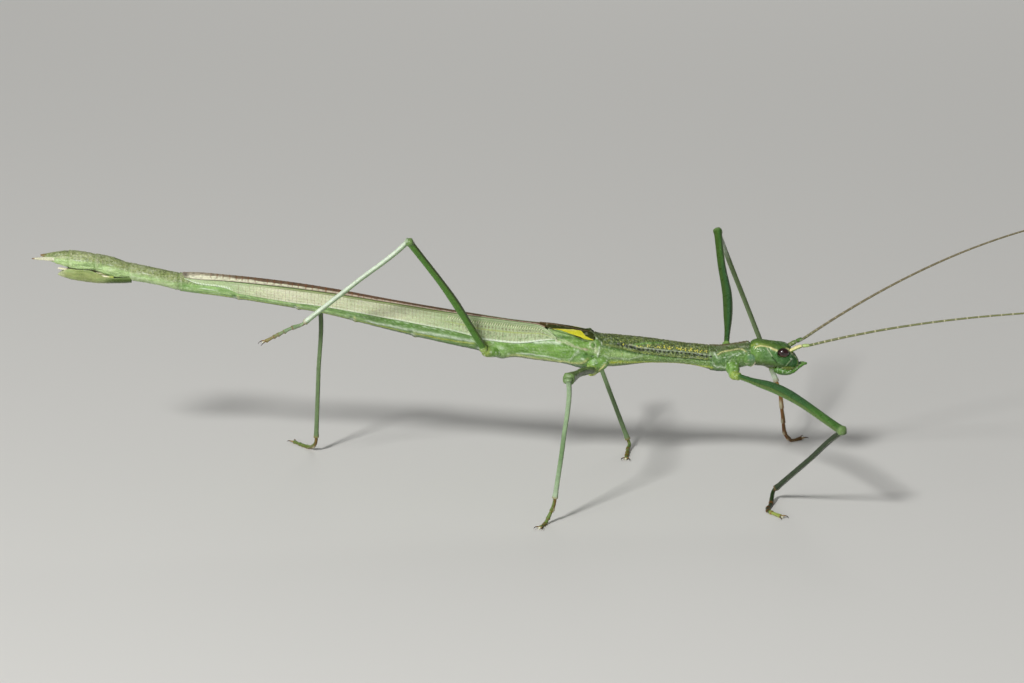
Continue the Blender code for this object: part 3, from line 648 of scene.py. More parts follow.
# Swellings and spots of the body: X, angle, half length and half breadth in mm, height, pigment, strength.
# Some chalk spots are painted glints and some dark ones painted shade, as noted.
MARKS = (
    (-1.1, -40, 0.85, 0.6, 0.26, "fresh", 0.6),
    (3.44, 66, 0.14, 0.1, -0.05, "ink", 0.95),
    (-1.2, -74, 1, 0.9, 0.36, "brow", 0.5),
    # painted shade: dark green under the thorax near the middle coxa, on a swelling
    (7.1, -78, 1.3, 0.9, 0.34, "deep", 0.6),
    (8.9, 88, 0.9, 1.2, -0.12, "olive", 0.3),
    # painted glints: three chalk spots on the hind coxa's swelling
    (-1.1, -20, 0.35, 0.12, 0.02, "chalk", 0.35),
    (-0.35, -40, 0.12, 0.1, 0.02, "chalk", 0.5),
    (-1.9, -10, 0.08, 0.06, 0.02, "chalk", 0.7),
    (-2.6, -25, 0.5, 0.4, 0.1, "grain", 0.5),
    (9.3, -30, 0.5, 0.5, 0.08, "leaf", 0.4),
    (21.7, -45, 0.8, 0.6, 0.12, "leaf", 0.2),
    (22.9, -10, 0.35, 0.45, 0.06, "sage", 0.3),
    (20.6, 5, 0.35, 0.3, 0.05, "sage", 0.2),
    # painted shade: dark green under the first segment, on a swelling
    (21, -76, 1.8, 0.9, 0.18, "deep", 0.4),
    (-39.5, -66, 1.1, 0.55, 0.22, "tail green", 0.2),
    (-42.8, -62, 1.2, 0.5, 0.08, "tail green", 0.2),
    (7.3, 6.5, 0.34, 0.1, 0.05, "rose", 0.85),
    (7.25, -15, 0.42, 0.24, 0.03, "teal", 0.7),
    # painted glints: three chalk spots on the thorax's side behind the middle coxa
    (7.05, -27, 0.16, 0.1, 0.04, "chalk", 0.95),
    (6.2, 2, 0.08, 0.06, 0.02, "chalk", 0.8),
    (6.6, -4, 0.16, 0.12, 0.03, "chalk", 0.45),
    (7.46, -8, 0.12, 0.09, -0.04, "ink", 0.8),
    (8, -15, 0.2, 0.14, -0.05, "deep", 0.9),
    (8.07, 22, 0.22, 0.2, 0.09, "sage", 0.5),
    (8.26, 24, 0.07, 0.14, -0.04, "ink", 0.7),
    (8.5, 33, 0.24, 0.18, 0.1, "leaf", 0.9),
    (8.4, 3, 0.26, 0.2, 0.05, "dusk", 0.6),
    # painted glints: five chalk spots round the middle coxa's root
    (8.46, 49, 0.09, 0.06, 0.02, "chalk", 0.9),
    (9.43, -27, 0.08, 0.07, 0.03, "chalk", 0.95),
    (8.25, -30, 0.07, 0.05, 0.02, "chalk", 0.8),
    (8.57, -32, 0.08, 0.05, 0.02, "chalk", 0.5),
    (8.53, -5, 0.08, 0.07, 0.02, "chalk", 0.8),
    (10.52, 36, 0.1, 0.05, -0.02, "ink", 0.8),
    (10.87, 33, 0.1, 0.05, -0.02, "ink", 0.8),
    (11.23, 32, 0.11, 0.06, -0.02, "ink", 0.9),
    (11.72, 28, 0.13, 0.07, -0.03, "ink", 0.9),
    (12.17, 24, 0.18, 0.1, -0.03, "ink", 1),
    (12.66, 16, 0.15, 0.08, -0.03, "ink", 1),
    (13.02, 13, 0.15, 0.07, -0.03, "ink", 1),
    # painted glints: long chalk streaks on the tail's upper flank
    (-43.1, 9, 0.55, 0.06, 0.02, "chalk", 0.7),
    (-39.9, 17, 0.3, 0.06, 0.02, "chalk", 0.6),
    (-36.2, 20, 0.35, 0.06, 0.02, "chalk", 0.6),
    # painted glints: two chalk spots on the first segment's side
    (21.26, 10, 0.1, 0.06, 0.02, "chalk", 0.8),
    (22.49, 10, 0.1, 0.06, 0.02, "chalk", 0.8),
    *((x, angle, 0.17, 0.045, 0.02, "chalk", 0.75) for x, angle in (
        (-11.35, -6), (-10.55, -4), (-8.69, -3), (-7.76, -2), (-6.87, -1), (-5.97, 2), (-5.13, 3))),
)


def spot(x, angle, mark):
    """How near a place is to a mark: a bell that is 1 in its middle."""
    at, middle, long, broad = mark[:4]
    return np.exp(-(((x - at) / long) ** 2) - ((angle - middle) * 1.4 * ARC / broad) ** 2)


def above_groove(x, angle):
    """1 on the back of the middle segment, above its long groove, and 0 below it."""
    above = ramp(angle - np.interp(x, *zip(*GROOVE)), -2, 5)
    start = x + 0.62 * ramp(angle, 38, 50) + 0.7 * ramp(angle, 60, 88)
    return above * ramp(start, 8.75, 8.95) * ramp(x, 19.8, 19.6)


def body_relief(x, angle):
    """How far the shell stands out from the plain outline: overlapping segments, folds, ridges."""
    out = np.zeros(np.shape(x))
    for edge in SEGMENT_EDGES:
        past = x - edge
        lip = 0.045 * np.exp(-np.abs(past) / 0.45)
        tucked = -0.06 * np.exp(-np.abs(past) / 0.14)
        out += np.where(past >= 0, lip, tucked) * ramp(-np.abs(past), -1.5, -0.8)
    line_angle = wander(x, angle)
    for path, width, height, _, _ in BODY_LINES:
        out += height * stroke(x, line_angle, path, width)
    for mark in MARKS:
        out += mark[4] * spot(x, angle, mark)
    for edge in SEGMENT_EDGES[4:9]:
        away = ((x - edge) / 0.2) ** 2 + ((angle + 40) * 1.2 * ARC / 0.16) ** 2
        out += 0.06 * np.exp(-away)
        out += 0.09 * np.exp(-(((x - edge - 0.1) / 0.25) ** 2) - ((angle + 76) * 1.2 * ARC / 0.22) ** 2)
    sternum = ramp(-angle, 82, 88) * ramp(x, -38, -37) * ramp(-x, -7.5, -7)
    return out + 0.03 * sternum


def body_point(x, turn):
    """A point of the body's skin: the outline with its relief, drawn in where wings cover it."""
    x, turn = grids(x, turn)
    angle = side_angle(turn)
    inside_head = ramp(x, NECK_JOINT, NECK_JOINT + 0.1)
    tip = ramp(x, -46.9, -45.6)
    out = body_relief(x, angle) * (1 - inside_head) * tip
    fine = ripple(oval(read_body, x, turn), 0.22, 3) + 0.6 * ripple(oval(read_body, x, turn), 0.1, 4)
    rough = 0.013 + 0.022 * ramp(x, 19.8, 20.1) * ramp(angle, -30, 0) + 0.012 * ramp(x, -32.8, -33.2)
    rough = rough + 0.02 * bell(x, 8.6, 0.9) * ramp(-angle, -30, -10)
    out = out + fine * rough * tip - wing_cover(x, angle)
    return oval(read_body, x, turn, out)


# Ground colours: X where a stretch starts, its back, flank and belly, and the angles where the back starts
# The deep and under bellies, from the abdomen forward, are painted shade of the underside.
STRETCHES = (
    (-47.5, "tail grey", "tail light", "tail light", -8, 26),
    (-38, "tail grey", "tail green", "fresh", -4, 26),
    (-33.1, "tail grey", "fresh", "leaf", 0, 28),
    (-27.4, "leaf", "fresh", "deep", 18, 50),
    (-14, "leaf", "leaf", "deep", 18, 50),
    (-3.2, "leaf", "meadow", "deep", 18, 50),
    (8.6, "moss", "moss", "under", 14, 34),
    (19.75, "olive", "sage", "deep", 30, 40),
    (23.7, "leaf", "fresh", "fresh", 18, 50),
)


def wander(x, angle):
    """An angle shifted a degree or two by X, so that drawn lines waver as grown ones do."""
    along = np.stack((x, 0 * x, 0 * x), axis=-1)
    return angle + 1.6 * ripple(along, 0.9, 61) + 0.8 * ripple(along, 0.35, 62)


def body_tint(x, angle, points):
    """The body's colours: back, flank and belly of each stretch, then its lines and marks, with painted shade
    under the body and at the tail's joints, and painted glints in chalk.
    """
    tint = all_over("tail grey", x.shape)
    for start, back, flank, belly, low, high in STRETCHES:
        soft = 1.0 if start in (-14, -27.4) else 0.07
        # painted shade: from the abdomen forward the belly pigment darkens the underside
        ground = laid(all_over(belly, x.shape), ramp(angle, -68, -46), flank)
        ground = laid(ground, ramp(angle, low, high), back)
        share = ramp(x, start - soft, start + soft)[..., None]
        tint = tint * (1 - share) + ground * share
    patchy = ripple(points * (0.35, 1, 1), 0.35, 7)
    tint = laid(tint, 0.14 * ramp(patchy, 0, 0.8), "cream")
    tint = laid(tint, 0.26 * ramp(-patchy, 0, 0.8), "deep")
    streaks = ripple(points * (0.12, 1, 1), 0.13, 5)
    tint = laid(tint, 0.24 * ramp(-streaks, 0, 0.7) * ramp(x, 8.3, 8), "deep")
    tint = laid(tint, 0.14 * ramp(streaks, 0.1, 0.7) * ramp(x, 8.3, 8), "chalk")
    back = above_groove(x, angle)
    tint = laid(tint, 0.9 * back, "olive")
    tint = laid(tint, 0.25 * back * ramp(angle, 66, 88), "bark")
    dim = ramp(ripple(points, 0.25, 66), -0.1, 0.7) * ramp(x, 8.9, 9.6) * (1 - back)
    tint = layered(
        tint,
        (0.4 * dim, "brow"),
        (0.4 * ramp(x, 19.9, 20.2) * ramp(angle, 68, 86), "bark"),
        # painted shade: the first segment's underside laid nearly black
        (0.85 * ramp(x, 19.9, 20.3) * ramp(angle, -52, -72), "ink"),
        (0.8 * ramp(x, 8.1, 8.4) * ramp(x, 9.9, 9.3) * ramp(angle, -10, -16), "leaf"),
        (0.45 * ramp(angle, 39, 45) * ramp(x, 3.4, 3.7) * ramp(x, 7.8, 7.2), "tail light"),
    )
    pale_band = bell(angle, -2, 14) * ramp(x, 9.2, 10) * (1 - back)
    tint = laid(tint, 0.4 * pale_band * ramp(x, 19.8, 19.4), "tail light")
    speck = ripple(points, 0.12, 8)
    tail_back = ramp(x, -28, -29) * ramp(angle, -10, 26)
    side = 0.3 * ramp(x, 9, 9.8) * ramp(angle, -60, -40)
    grained = np.maximum(np.maximum(back, side), 0.6 * tail_back)
    tint = laid(tint, 0.6 * grained * ramp(speck, 0, 0.5), "ink")
    tint = laid(tint, 0.4 * grained * ramp(-speck, 0.1, 0.6), "tail grey")
    neck = ramp(x, 21.6, 22.6) * ramp(angle, 14, 0) * ramp(angle, -90, -60)
    tint = laid(tint, 0.7 * neck, "leaf")
    tint = laid(tint, 0.8 * ramp(x, -46.1, -46.8), "rust")
    worn = 0.78 + 0.35 * ripple(points, 0.16, 63)
    line_angle = wander(x, angle)
    for path, width, _, name, strength in BODY_LINES:
        tint = laid(tint, strength * worn * stroke(x, line_angle, path, width * 1.1), name)
    dashes = stroke(x, line_angle, DASH_LINE, 0.13)
    beat = ramp(np.sin(x * 2 * math.pi / DASH_STEP + 0.8 * ripple(points * (1, 0, 0), 1.5, 9)), -0.35, 0.3)
    tint = laid(tint, 0.95 * ramp(dashes, 0.2, 0.7) * beat, "ink")
    for mark in MARKS:
        tint = laid(tint, mark[6] * spot(x, angle, mark), mark[5])
    between_wing = ramp(angle, -30, -24) * ramp(x, -27.4, -26) * ramp(x, -3, -5)
    tint = laid(tint, 0.3 * between_wing, "sage")
    grit = ripple(points, 0.11, 67)
    tint = laid(tint, 0.2 * ramp(grit, 0.1, 0.8), "chalk")
    tint = laid(tint, 0.3 * ramp(-grit, 0.1, 0.8), "deep")
    for edge in SEGMENT_EDGES[4:9]:
        away = ((x - edge + 0.1) / 0.2) ** 2 + ((angle + 50) * 1.2 * ARC / 0.16) ** 2
        knob = ((x - edge - 0.1) / 0.25) ** 2 + ((angle + 76) * 1.2 * ARC / 0.22) ** 2
        tint = layered(
            tint,
            (0.8 * np.exp(-knob), "under"),
            (0.7 * ramp(-angle, 20, 34) * bell(x - edge, -0.25, 0.22), "deep"),
            (0.5 * ramp(-angle, 20, 34) * bell(x - edge, 0.12, 0.08), "straw"),
            # painted glint: a chalk-white spot on each abdominal joint
            (0.85 * np.exp(-away), "chalk"),
        )
    for edge in SEGMENT_EDGES[:4]:
        # painted shade: a darker band in the fold of each tail joint; the pale band just ahead is the fold's
        # own colour
        tint = laid(tint, 0.35 * bell(x - edge, -0.05, 0.14), "brow")
        tint = laid(tint, 0.22 * bell(x - edge, 0.2, 0.08), "cream")
    return tint


def spaced(stops):
    """Places along a line: each stop gives where a stretch starts and the steps from there on."""
    spans = [np.arange(a, b, step) for (a, step), (b, _) in zip(stops, stops[1:])]
    return np.concatenate(spans + [[stops[-1][0]]])


def make_body():
    """One skin from the tail's tip to inside the head."""
    x = spaced(((-46.9, 0.085), (-32, 0.19), (-3, 0.13), (7.8, 0.074), (24, 0.1), (24.6, 0.1)))
    turn = 90 - np.arange(144) * 2.5
    grid_x, grid_turn = np.broadcast_arrays(x[:, None], turn[None, :])
    points = body_point(grid_x, grid_turn)
    tint = body_tint(grid_x, side_angle(grid_turn), points)
    nodes = [f"abdomen_{i}" for i in range(2, 11)] + ["metathorax", "mesothorax", "prothorax"]
    piece("body_skin", [closed_skin(points, tint)], BODY_SHELL, nodes)


def footing(surface, along, turn):
    """Places on a surface, with the way out of it and the way along it there."""
    here = surface(along, turn)
    ahead = unit(surface(along + 0.01, turn) - surface(along - 0.01, turn))
    across = surface(along, turn + 1) - surface(along, turn - 1)
    out = unit(np.cross(ahead, across))
    middle = (here + surface(along, turn + 180)) / 2
    out = out * np.sign(np.einsum("ij,ij->i", out, here - middle))[:, None]
    return here, out, ahead


def band(sides, first=0):
    """The four-cornered faces between a ring of corners and the ring after it."""
    k = np.arange(sides)
    after = (k + 1) % sides
    return np.stack((k, after, after + sides, k + sides), axis=-1) + first


def cap(sides, first, top):
    """The three-cornered faces between a ring of corners and one corner at the top."""
    k = np.arange(sides)
    return np.stack((k + first, (k + 1) % sides + first, np.full(sides, top)), axis=-1)


def repeated(points, quads, triangles, tint):
    """Many small closed shapes as one part. Points and tint have a row for each, the faces are for one."""
    count, corners = points.shape[:2]
    shift = (np.arange(count) * corners)[:, None, None]
    groups = [(quads[None] + shift).reshape(-1, 4), (triangles[None] + shift).reshape(-1, 3)]
    flat = points.reshape(-1, 3)
    return flat, outward(flat, groups), np.repeat(tint, corners, axis=0)


def beads(surface, along, turn, radius, height, tint):
    """Low six-sided domes set on a surface: a foot ring just under it, a ring half way up, a top."""
    here, out, ahead = footing(surface, along, turn)
    across = np.cross(out, ahead)
    spin = np.arange(6) * math.pi / 3
    levels = ((1, -0.5), (0.72, 0.7))
    rings = [
        here[:, None]
        + radius[:, None, None] * wide * (
            np.cos(spin)[None, :, None] * ahead[:, None] + np.sin(spin)[None, :, None] * across[:, None]
        )
        + (height * up)[:, None, None] * out[:, None]
        for wide, up in levels
    ]
    top = (here + height[:, None] * out)[:, None]
    points = np.concatenate(rings + [top], axis=1)
    under = np.array([[5, 4, 3], [5, 3, 2], [5, 2, 1], [5, 1, 0]])
    return repeated(points, band(6), np.concatenate((cap(6, 6, 12), under)), tint)


def scattered(count, start, end, low, high):
    """Random places of X and of turn, the latter on both sides of the insect."""
    angle = RANDOM.uniform(low, high, count)
    other = RANDOM.random(count) < 0.5
    return RANDOM.uniform(start, end, count), np.where(other, 180 - angle, angle)


def make_granules():
    """Fine grains on the thorax and the tail, and the row of larger yellow ones along the side."""
    parts = []
    for name, count, start, end, low, high, size, light in (
        ("back", 3000, 8.9, 19.6, -22, 88, 0.052, "grain"),
        ("neck", 620, 20, 23.6, 30, 88, 0.045, "moss"),
        ("side", 800, 9.2, 19.6, -55, 20, 0.045, "tail light"),
        ("tail", 1900, -45.9, -28.5, 4, 88, 0.036, "cream"),
    ):
        x, turn = scattered(count, start, end, low, high)
        if name == "back":
            keep = (above_groove(x, side_angle(turn)) > 0.5) | (RANDOM.random(count) < 0.12)
            x, turn, count = x[keep], turn[keep], int(keep.sum())
        if name in ("back", "side"):
            lines = ((GROOVE, 0.13), (DASH_LINE, 0.15), (WEDGE, 0.15))
            drawn = sum(stroke(x, side_angle(turn), path, width) for path, width in lines)
            x, turn, count = x[drawn < 0.35], turn[drawn < 0.35], int((drawn < 0.35).sum())
        radius = size * RANDOM.uniform(0.6, 1.4, count)
        pale = RANDOM.uniform(0.1, 0.8, count) * (1 - 0.5 * ramp(side_angle(turn), 45, 80))
        tint = laid(body_tint(x, side_angle(turn), body_point(x, turn)), pale, light)
        parts.append(beads(body_point, x, turn, radius, radius * 0.6, tint))
    count = 210
    x = RANDOM.uniform(10.2, 19.6, count)
    x = np.where(x < 13.4, x + 6.2 * (RANDOM.random(count) < 0.75), x)
    angle = np.interp(
        x, (10.2, 12.2, 13.2, 14.8, 16.8, 19.7), (40, 32, 28, 31, 35, 38),
    ) + RANDOM.normal(0, 4, count)
    turn = np.where(RANDOM.random(count) < 0.5, 180 - angle, angle)
    radius = 0.07 * RANDOM.uniform(0.6, 1.3, count)
    tint = laid(all_over("sulphur", (count,)), 0.5 * RANDOM.random(count), "straw")
    parts.append(beads(body_point, x, turn, radius, radius * 0.6, tint))
    piece("granules", parts, BODY_SHELL, ["mesothorax", "prothorax"])


# Main veins of the strip: share from its lower edge, half width and height
VEINS = (
    (0.03, 0.09, 0.05), (0.21, 0.04, 0.025), (0.4, 0.05, 0.04), (0.58, 0.04, 0.025), (0.8, 0.05, 0.035),
    (0.955, 0.05, 0.05),
)
RIB_STEP = 0.64  # between the fan's ribs
PLEATS = (1.12, 1.3, 1.48, 1.66, 1.84)
WING_SHEET = 0.11


def wing_angle(x, share, reach=0):
    """Turn round the body on a wing: share 0 to 1 from its lower edge to the fold, 1 to 2 over the fan."""
    lower, fold, upper = (straight(WING_EDGES, x, column) for column in (1, 2, 3))
    upper = upper + reach * ramp(x, -32, -29) * ramp(x, 3.2, 2.3)
    return np.where(share <= 1, lower + (fold - lower) * share, fold + (upper - fold) * (share - 1))


def wing_point(x, share, lift=0, reach=0):
    """A point on a folded wing, lying on the insect's outline, lifted off it by a distance."""
    return oval(read_trunk, x, wing_angle(x, share, reach), lift)


def strip_lift(x, share):
    """The strip's main veins, raised in its surface, and the shallow troughs between them."""
    breadth = (wing_angle(x, 1) - wing_angle(x, 0)) * 1.5 * ARC
    lift = np.zeros(np.broadcast_shapes(np.shape(x), np.shape(share)))
    for at, width, rise in VEINS:
        lift = lift + rise * np.exp(-(((share - at) * breadth / width) ** 2))
    return lift * ramp(x, -32.8, -30)


def strip_surface(x, share, lift):
    """A point on the strip with its veins, lifted off it by a distance."""
    return wing_point(x, share, lift + strip_lift(x, share))


def strip_tint(x, share, points):
    """Cream with a yellow-green band above and a chalky border below, greener to both ends."""
    tint = all_over("cream", points.shape[:-1])
    green = np.interp(x, (-28, -26.4, -23, -19, -12, -7, -3, 3), (0.85, 0.55, 0.1, 0.3, 0.3, 0.75, 0.75, 0.7))
    tint = layered(
        tint,
        (green, "strip green"),
        (0.14 * ramp(ripple(points * (0.3, 1, 1), 0.3, 12), 0, 0.8), "moss"),
        (0.7 * ramp(share, 0.8, 0.85), "strip green"),
        (0.95 * ramp(share, 0.8, 0.85) * ramp(x, -28, -21) * ramp(x, -4, -8), "reed"),
        (0.5 * bell(share, 0.82, 0.015), "leg green"),
        (0.5 * bell(share, 0.88, 0.02), "cream"),
        (0.9 * ramp(share, 0.925, 0.945), "leg green"),
        (0.7 * ramp(share, 0.985, 0.995), "umber"),
    )
    near = ramp(x, -9, -4)
    net = ramp(ripple(points * (0.6, 1, 1), 0.16, 14), 0, 0.5)
    for at in (0.13, 0.305, 0.49, 0.69):
        tint = laid(tint, 0.45 * net * bell(share, at, 0.012) * (1 - 0.6 * near), "net brown")
    tint = laid(tint, 0.7 * bell(share, 0.4, 0.025) * near, "grain")
    tint = laid(tint, 0.5 * bell(share, 0.68, 0.1) * near, "moss")
    beat = ramp(np.sin(x * 2 * math.pi / 0.34), -0.2, 0.5)
    tint = layered(
        tint,
        (0.65 * beat * bell(share, 0.51, 0.035) * near, "bark"),
        (0.5 * ramp(ripple(points, 0.12, 13), 0.1, 0.6) * (share < 0.36) * near, "leg green"),
        (0.5 * ramp(np.sin(x * 2 * math.pi / 0.31 + 1), 0.5, 0.9) * bell(share, 0.29, 0.06) * near, "bark"),
        (0.35 * ramp(share, 0.1, 0.05) * ramp(x, -26, -20), "chalk"),
    )
    beads_row = ramp(np.sin(x * 2 * math.pi / 0.26 + 9 * share), 0, 0.6)
    beads_row = beads_row * ramp(x, -27.6, -28.2) * ramp(share, 0.42, 0.2)
    tint = laid(tint, 0.95 * beads_row, "chalk")
    return laid(tint, 0.6 * ramp(share, 0.09, 0.05) * ramp(x, -4.6, -3.2), "chalk")


def fan_lift(x, share):
    """Pleats of the folded fan, as narrow rounded ridges, with the cross ridges of its ribs."""
    lift = np.full(np.broadcast_shapes(np.shape(x), np.shape(share)), -0.03)
    for at in PLEATS:
        lift = lift + 0.045 * bell(share, at, 0.05)
    ribs = ramp(np.cos(x * 2 * math.pi / RIB_STEP), 0.8, 1) * ramp(share, 1.25, 1.4)
    return lift + 0.02 * ribs + 0.18 * bell(x, -31.7, 1.9) * ramp(share, 1.2, 1.8)


def fan_tint(x, share, points):
    """Dusky white below and brown above, with a dark cross mark at each rib."""
    border = np.interp(
        x, (-32.8, -31, -28, -25, -21, -18, -12, -6), (1.35, 1.58, 1.46, 1.38, 1.32, 1.3, 1.3, 1.3),
    )
    tint = laid(all_over("dusk", points.shape[:-1]), 0.7 * ramp(x, -22, -16), "rose")
    wave = 0.05 * ripple(points * (1, 0, 0), 0.4, 21)
    worn = np.interp(x, (-32.8, -29.5, -26.5), (0.5, 0.65, 0.92))
    tint = laid(tint, worn * ramp(share + wave, border - 0.06, border + 0.06), "fan brown")
    tint = laid(
        tint, 0.4 * ramp(ripple(points, 0.25, 22), 0, 0.7) * ramp(share, border, border + 0.2), "umber",
    )
    beat = ramp(np.cos((x + 0.12 * ripple(points * (1, 0, 0), 0.7, 23)) * 2 * math.pi / RIB_STEP), 0.84, 0.97)
    hang = ramp(share, border - 0.3, border - 0.16) * ramp(share, 1.95, 1.9)
    tint = layered(
        tint,
        (0.75 * beat * hang * ramp(x, -31, -29.5) * (1 - 0.5 * ramp(x, -17, -10)), "rust"),
        (0.85 * ramp(share, 1.11, 1.05), "bark"),
        (0.3 * ramp(ripple(points, 0.13, 24), 0, 0.6), "umber"),
        (0.6 * ramp(x, -31.8, -32.6), "umber"),
    )
    for at in PLEATS:
        tint = laid(tint, 0.15 * bell(share, at, 0.03), "rose")
    return laid(tint, 0.45 * ramp(share, 1.86, 1.92), "rose")


def bars(where, starts, ends, width, height, tint):
    """Three-sided bars that lie on a surface from one place to another, with a station half way."""
    t = np.array((0, 0.5, 1))[None, :, None]
    places = starts[:, None] * (1 - t) + ends[:, None] * t
    low = where(places[..., 0], places[..., 1], -0.02)
    high = where(places[..., 0], places[..., 1], height)
    out = unit(high - low)
    ahead = unit(low[:, -1:] - low[:, :1])
    across = unit(np.cross(out, ahead)) * width / 2
    points = np.stack((low - across, high, low + across), axis=2).reshape(len(starts), 9, 3)
    quads = np.concatenate((band(3), band(3, 3)))
    return repeated(points, quads, np.array([[2, 1, 0], [6, 7, 8]]), tint)


def net_lines():
    """The strip's small veins: cross veins in each row, and slanted white strokes near the root."""
    starts, ends = [], []
    rows = [row[0] for row in VEINS[:5]]
    for below, above in zip(rows, rows[1:]):
        x = np.arange(-27.2, -6.4 if above > 0.7 else 3.3, 0.36)
        x = (x + RANDOM.uniform(-0.03, 0.03, len(x)))[RANDOM.random(len(x)) > 0.1]
        starts.append(np.column_stack((x, np.full(len(x), below + 0.01))))
        ends.append(np.column_stack((x + 0.03, np.full(len(x), above - 0.01))))
    x = np.linspace(-6.4, 2.9, 41) + RANDOM.uniform(-0.02, 0.02, 41)
    strokes = np.column_stack((x, np.full(41, 0.6))), np.column_stack(
        (x + 0.14, RANDOM.uniform(0.72, 0.78, 41))
    )
    return (np.concatenate(starts), np.concatenate(ends)), strokes


def make_hindwings():
    """For each side the front strip, its net of small veins and the folded fan behind it."""
    x = np.linspace(WING_TIP, STRIP_ROOT, 420)[:, None]
    fan_x = np.linspace(WING_TIP, FAN_ROOT, 420)[:, None]
    strip_share = np.linspace(0, 1, 64)[None, :]
    fan_share = np.linspace(0.97, 2, 46)[None, :]
    cross, strokes = net_lines()
    for side, reach in (("left", 2), ("right", 7)):
        top = wing_point(x, strip_share, strip_lift(x, strip_share))
        under = wing_point(x, strip_share, -WING_SHEET)
        strip = closed_sheet(top, under, strip_tint(x, strip_share, top), strip_tint(x, strip_share, under))
        lift = fan_lift(fan_x, fan_share) - (0.04 if side == "left" else 0) * ramp(fan_share, 1.3, 1.7)
        top = wing_point(fan_x, fan_share, lift, reach)
        under = wing_point(fan_x, fan_share, lift - 0.07, reach)
        fan = closed_sheet(top, under, fan_tint(fan_x, fan_share, top), fan_tint(fan_x, fan_share, under))
        net = []
        for (starts, ends), width, name, strength in (
            (cross, 0.04, "net brown", 0.75), (strokes, 0.1, "bone", 1),
        ):
            ground = strip_tint(starts[:, 0], starts[:, 1], wing_point(starts[:, 0], starts[:, 1]))
            ground = laid(ground, np.full(len(starts), strength), name)
            net.append(bars(strip_surface, starts, ends, width, 0.024, ground))
        if side == "right":
            strip, fan, net = mirrored(strip), mirrored(fan), [mirrored(part) for part in net]
        for name, parts, finish in (
            ("strip", [strip], WING_LEATHER), ("fan", [fan], WING_FAN), ("net", net, WING_LEATHER),
        ):
            piece(f"hindwing_{name}_{side}", parts, finish, [f"hindwing_{side}"])


# Borders of the yellow wedge on the forewing
YELLOW_TOP = ((3.9, 61.5), (4.8, 64), (5.8, 67), (6.84, 72), (6.95, 66), (7.3, 51), (7.8, 44), (8.17, 41))
YELLOW_FOOT = ((3.9, 61), (4.8, 59), (5.8, 50), (6.8, 44), (7.3, 38), (7.8, 36), (8.15, 40))


def tegmen_tint(x, angle, points):
    """Dark olive above with a brown edge and pale flecks, a yellow wedge along the side, and under the wedge
    green toward the tip and a painted dark brown shadow toward the root.
    """
    tint = laid(all_over("umber", points.shape[:-1]), 0.4, "under")
    flecks = ramp(ripple(points * (0.6, 1, 1), 0.16, 31), 0.25, 0.7)
    tint = laid(tint, (0.2 + 0.3 * ramp(x, 5.2, 3.8)) * flecks, "dusk")
    tint = laid(tint, 0.6 * ramp(angle, 81, 86), "net brown")
    tint = laid(tint, 0.5 * ramp(x, 4.2, 3), "fan brown")
    top, foot = (np.interp(x, *zip(*rows)) for rows in (YELLOW_TOP, YELLOW_FOOT))
    tint = laid(tint, 0.8 * ramp(angle, foot, foot - 2) * ramp(x, 6.4, 6), "fresh")
    # painted shadow: dark brown under the wedge toward the root
    tint = laid(tint, 0.8 * ramp(angle, foot, foot - 2) * ramp(x, 6, 6.4), "fan brown")
    wedge = ramp(top - angle, -1, 1.5) * ramp(angle - foot, -1, 1.5) * ramp(x, 3.9, 4.2)
    pale = ramp(angle, 0.5 * (top + foot), top) * ramp(x, 6.8, 5.8)
    return laid(laid(tint, wedge, "sulphur"), 0.45 * wedge * pale, "straw")


def make_tegmina():
    """The short leathery forewings, with a raised shoulder, ridges and a thick front edge."""
    x = np.linspace(TEGMEN_TIP, TEGMEN_ROOT, 110)[:, None]
    share = np.linspace(0, 1, 60)[None, :]
    for side, reach in (("left", 1), ("right", 5)):
        lower = straight(TEGMEN_EDGE, x)
        angle = lower + (90 + reach - lower) * share
        reach_x = (np.interp(angle, *zip(*TEGMEN_FRONT)) - TEGMEN_TIP) / (TEGMEN_ROOT - TEGMEN_TIP)
        x_cut = TEGMEN_TIP + (x - TEGMEN_TIP) * reach_x
        edge = 4 * share * (1 - share)
        hump = -0.17 * bell(x_cut, 7.1, 1.5) * ramp(angle, 66, 84)
        ridges = 0.03 * bell(share, 0.45, 0.04) + 0.025 * bell(share, 0.75, 0.03)
        lift = 0.03 + 0.05 * edge + hump + ridges - (0.03 if side == "left" else 0) * ramp(share, 0.8, 1)
        top = oval(read_trunk, x_cut, angle, lift)
        pitted = 0.012 * ripple(top, 0.14, 33)
        top = oval(read_trunk, x_cut, angle, lift + pitted)
        under = oval(read_trunk, x_cut, angle, lift - 0.13)
        sheet = closed_sheet(top, under, tegmen_tint(x_cut, angle, top), tegmen_tint(x_cut, angle, under))
        sheet = mirrored(sheet) if side == "right" else sheet
        piece(f"forewing_shell_{side}", [sheet], FOREWING_SHELL, [f"tegmen_{side}"])


def limb(path, dorsal, width):
    """A limb's surface round a path. Its width is a function of the share along and of the turn."""
    steps = np.linspace(0, 1, len(path))
    ahead = unit(np.gradient(path, axis=0))
    dorsal = np.asarray(dorsal, float)
    up = unit(dorsal - np.sum(ahead * dorsal, axis=-1, keepdims=True) * ahead)
    across = np.cross(ahead, up)

    def surface(share, turn):
        share, turn = grids(share, turn)
        at, side, top = (
            np.stack([np.interp(share, steps, line[:, k]) for k in range(3)], axis=-1)
            for line in (path, across, up)
        )
        radius = width(share, turn)[..., None]
        return at + radius * (np.cos(turn * ARC)[..., None] * side + np.sin(turn * ARC)[..., None] * top)

    return surface


def keeled(turn, sharpness):
    """A round section drawn out to four lengthwise keels at its corners."""
    corner = np.abs(np.sin(2 * turn * ARC)) ** 6
    return 1 - 0.35 * sharpness + sharpness * corner


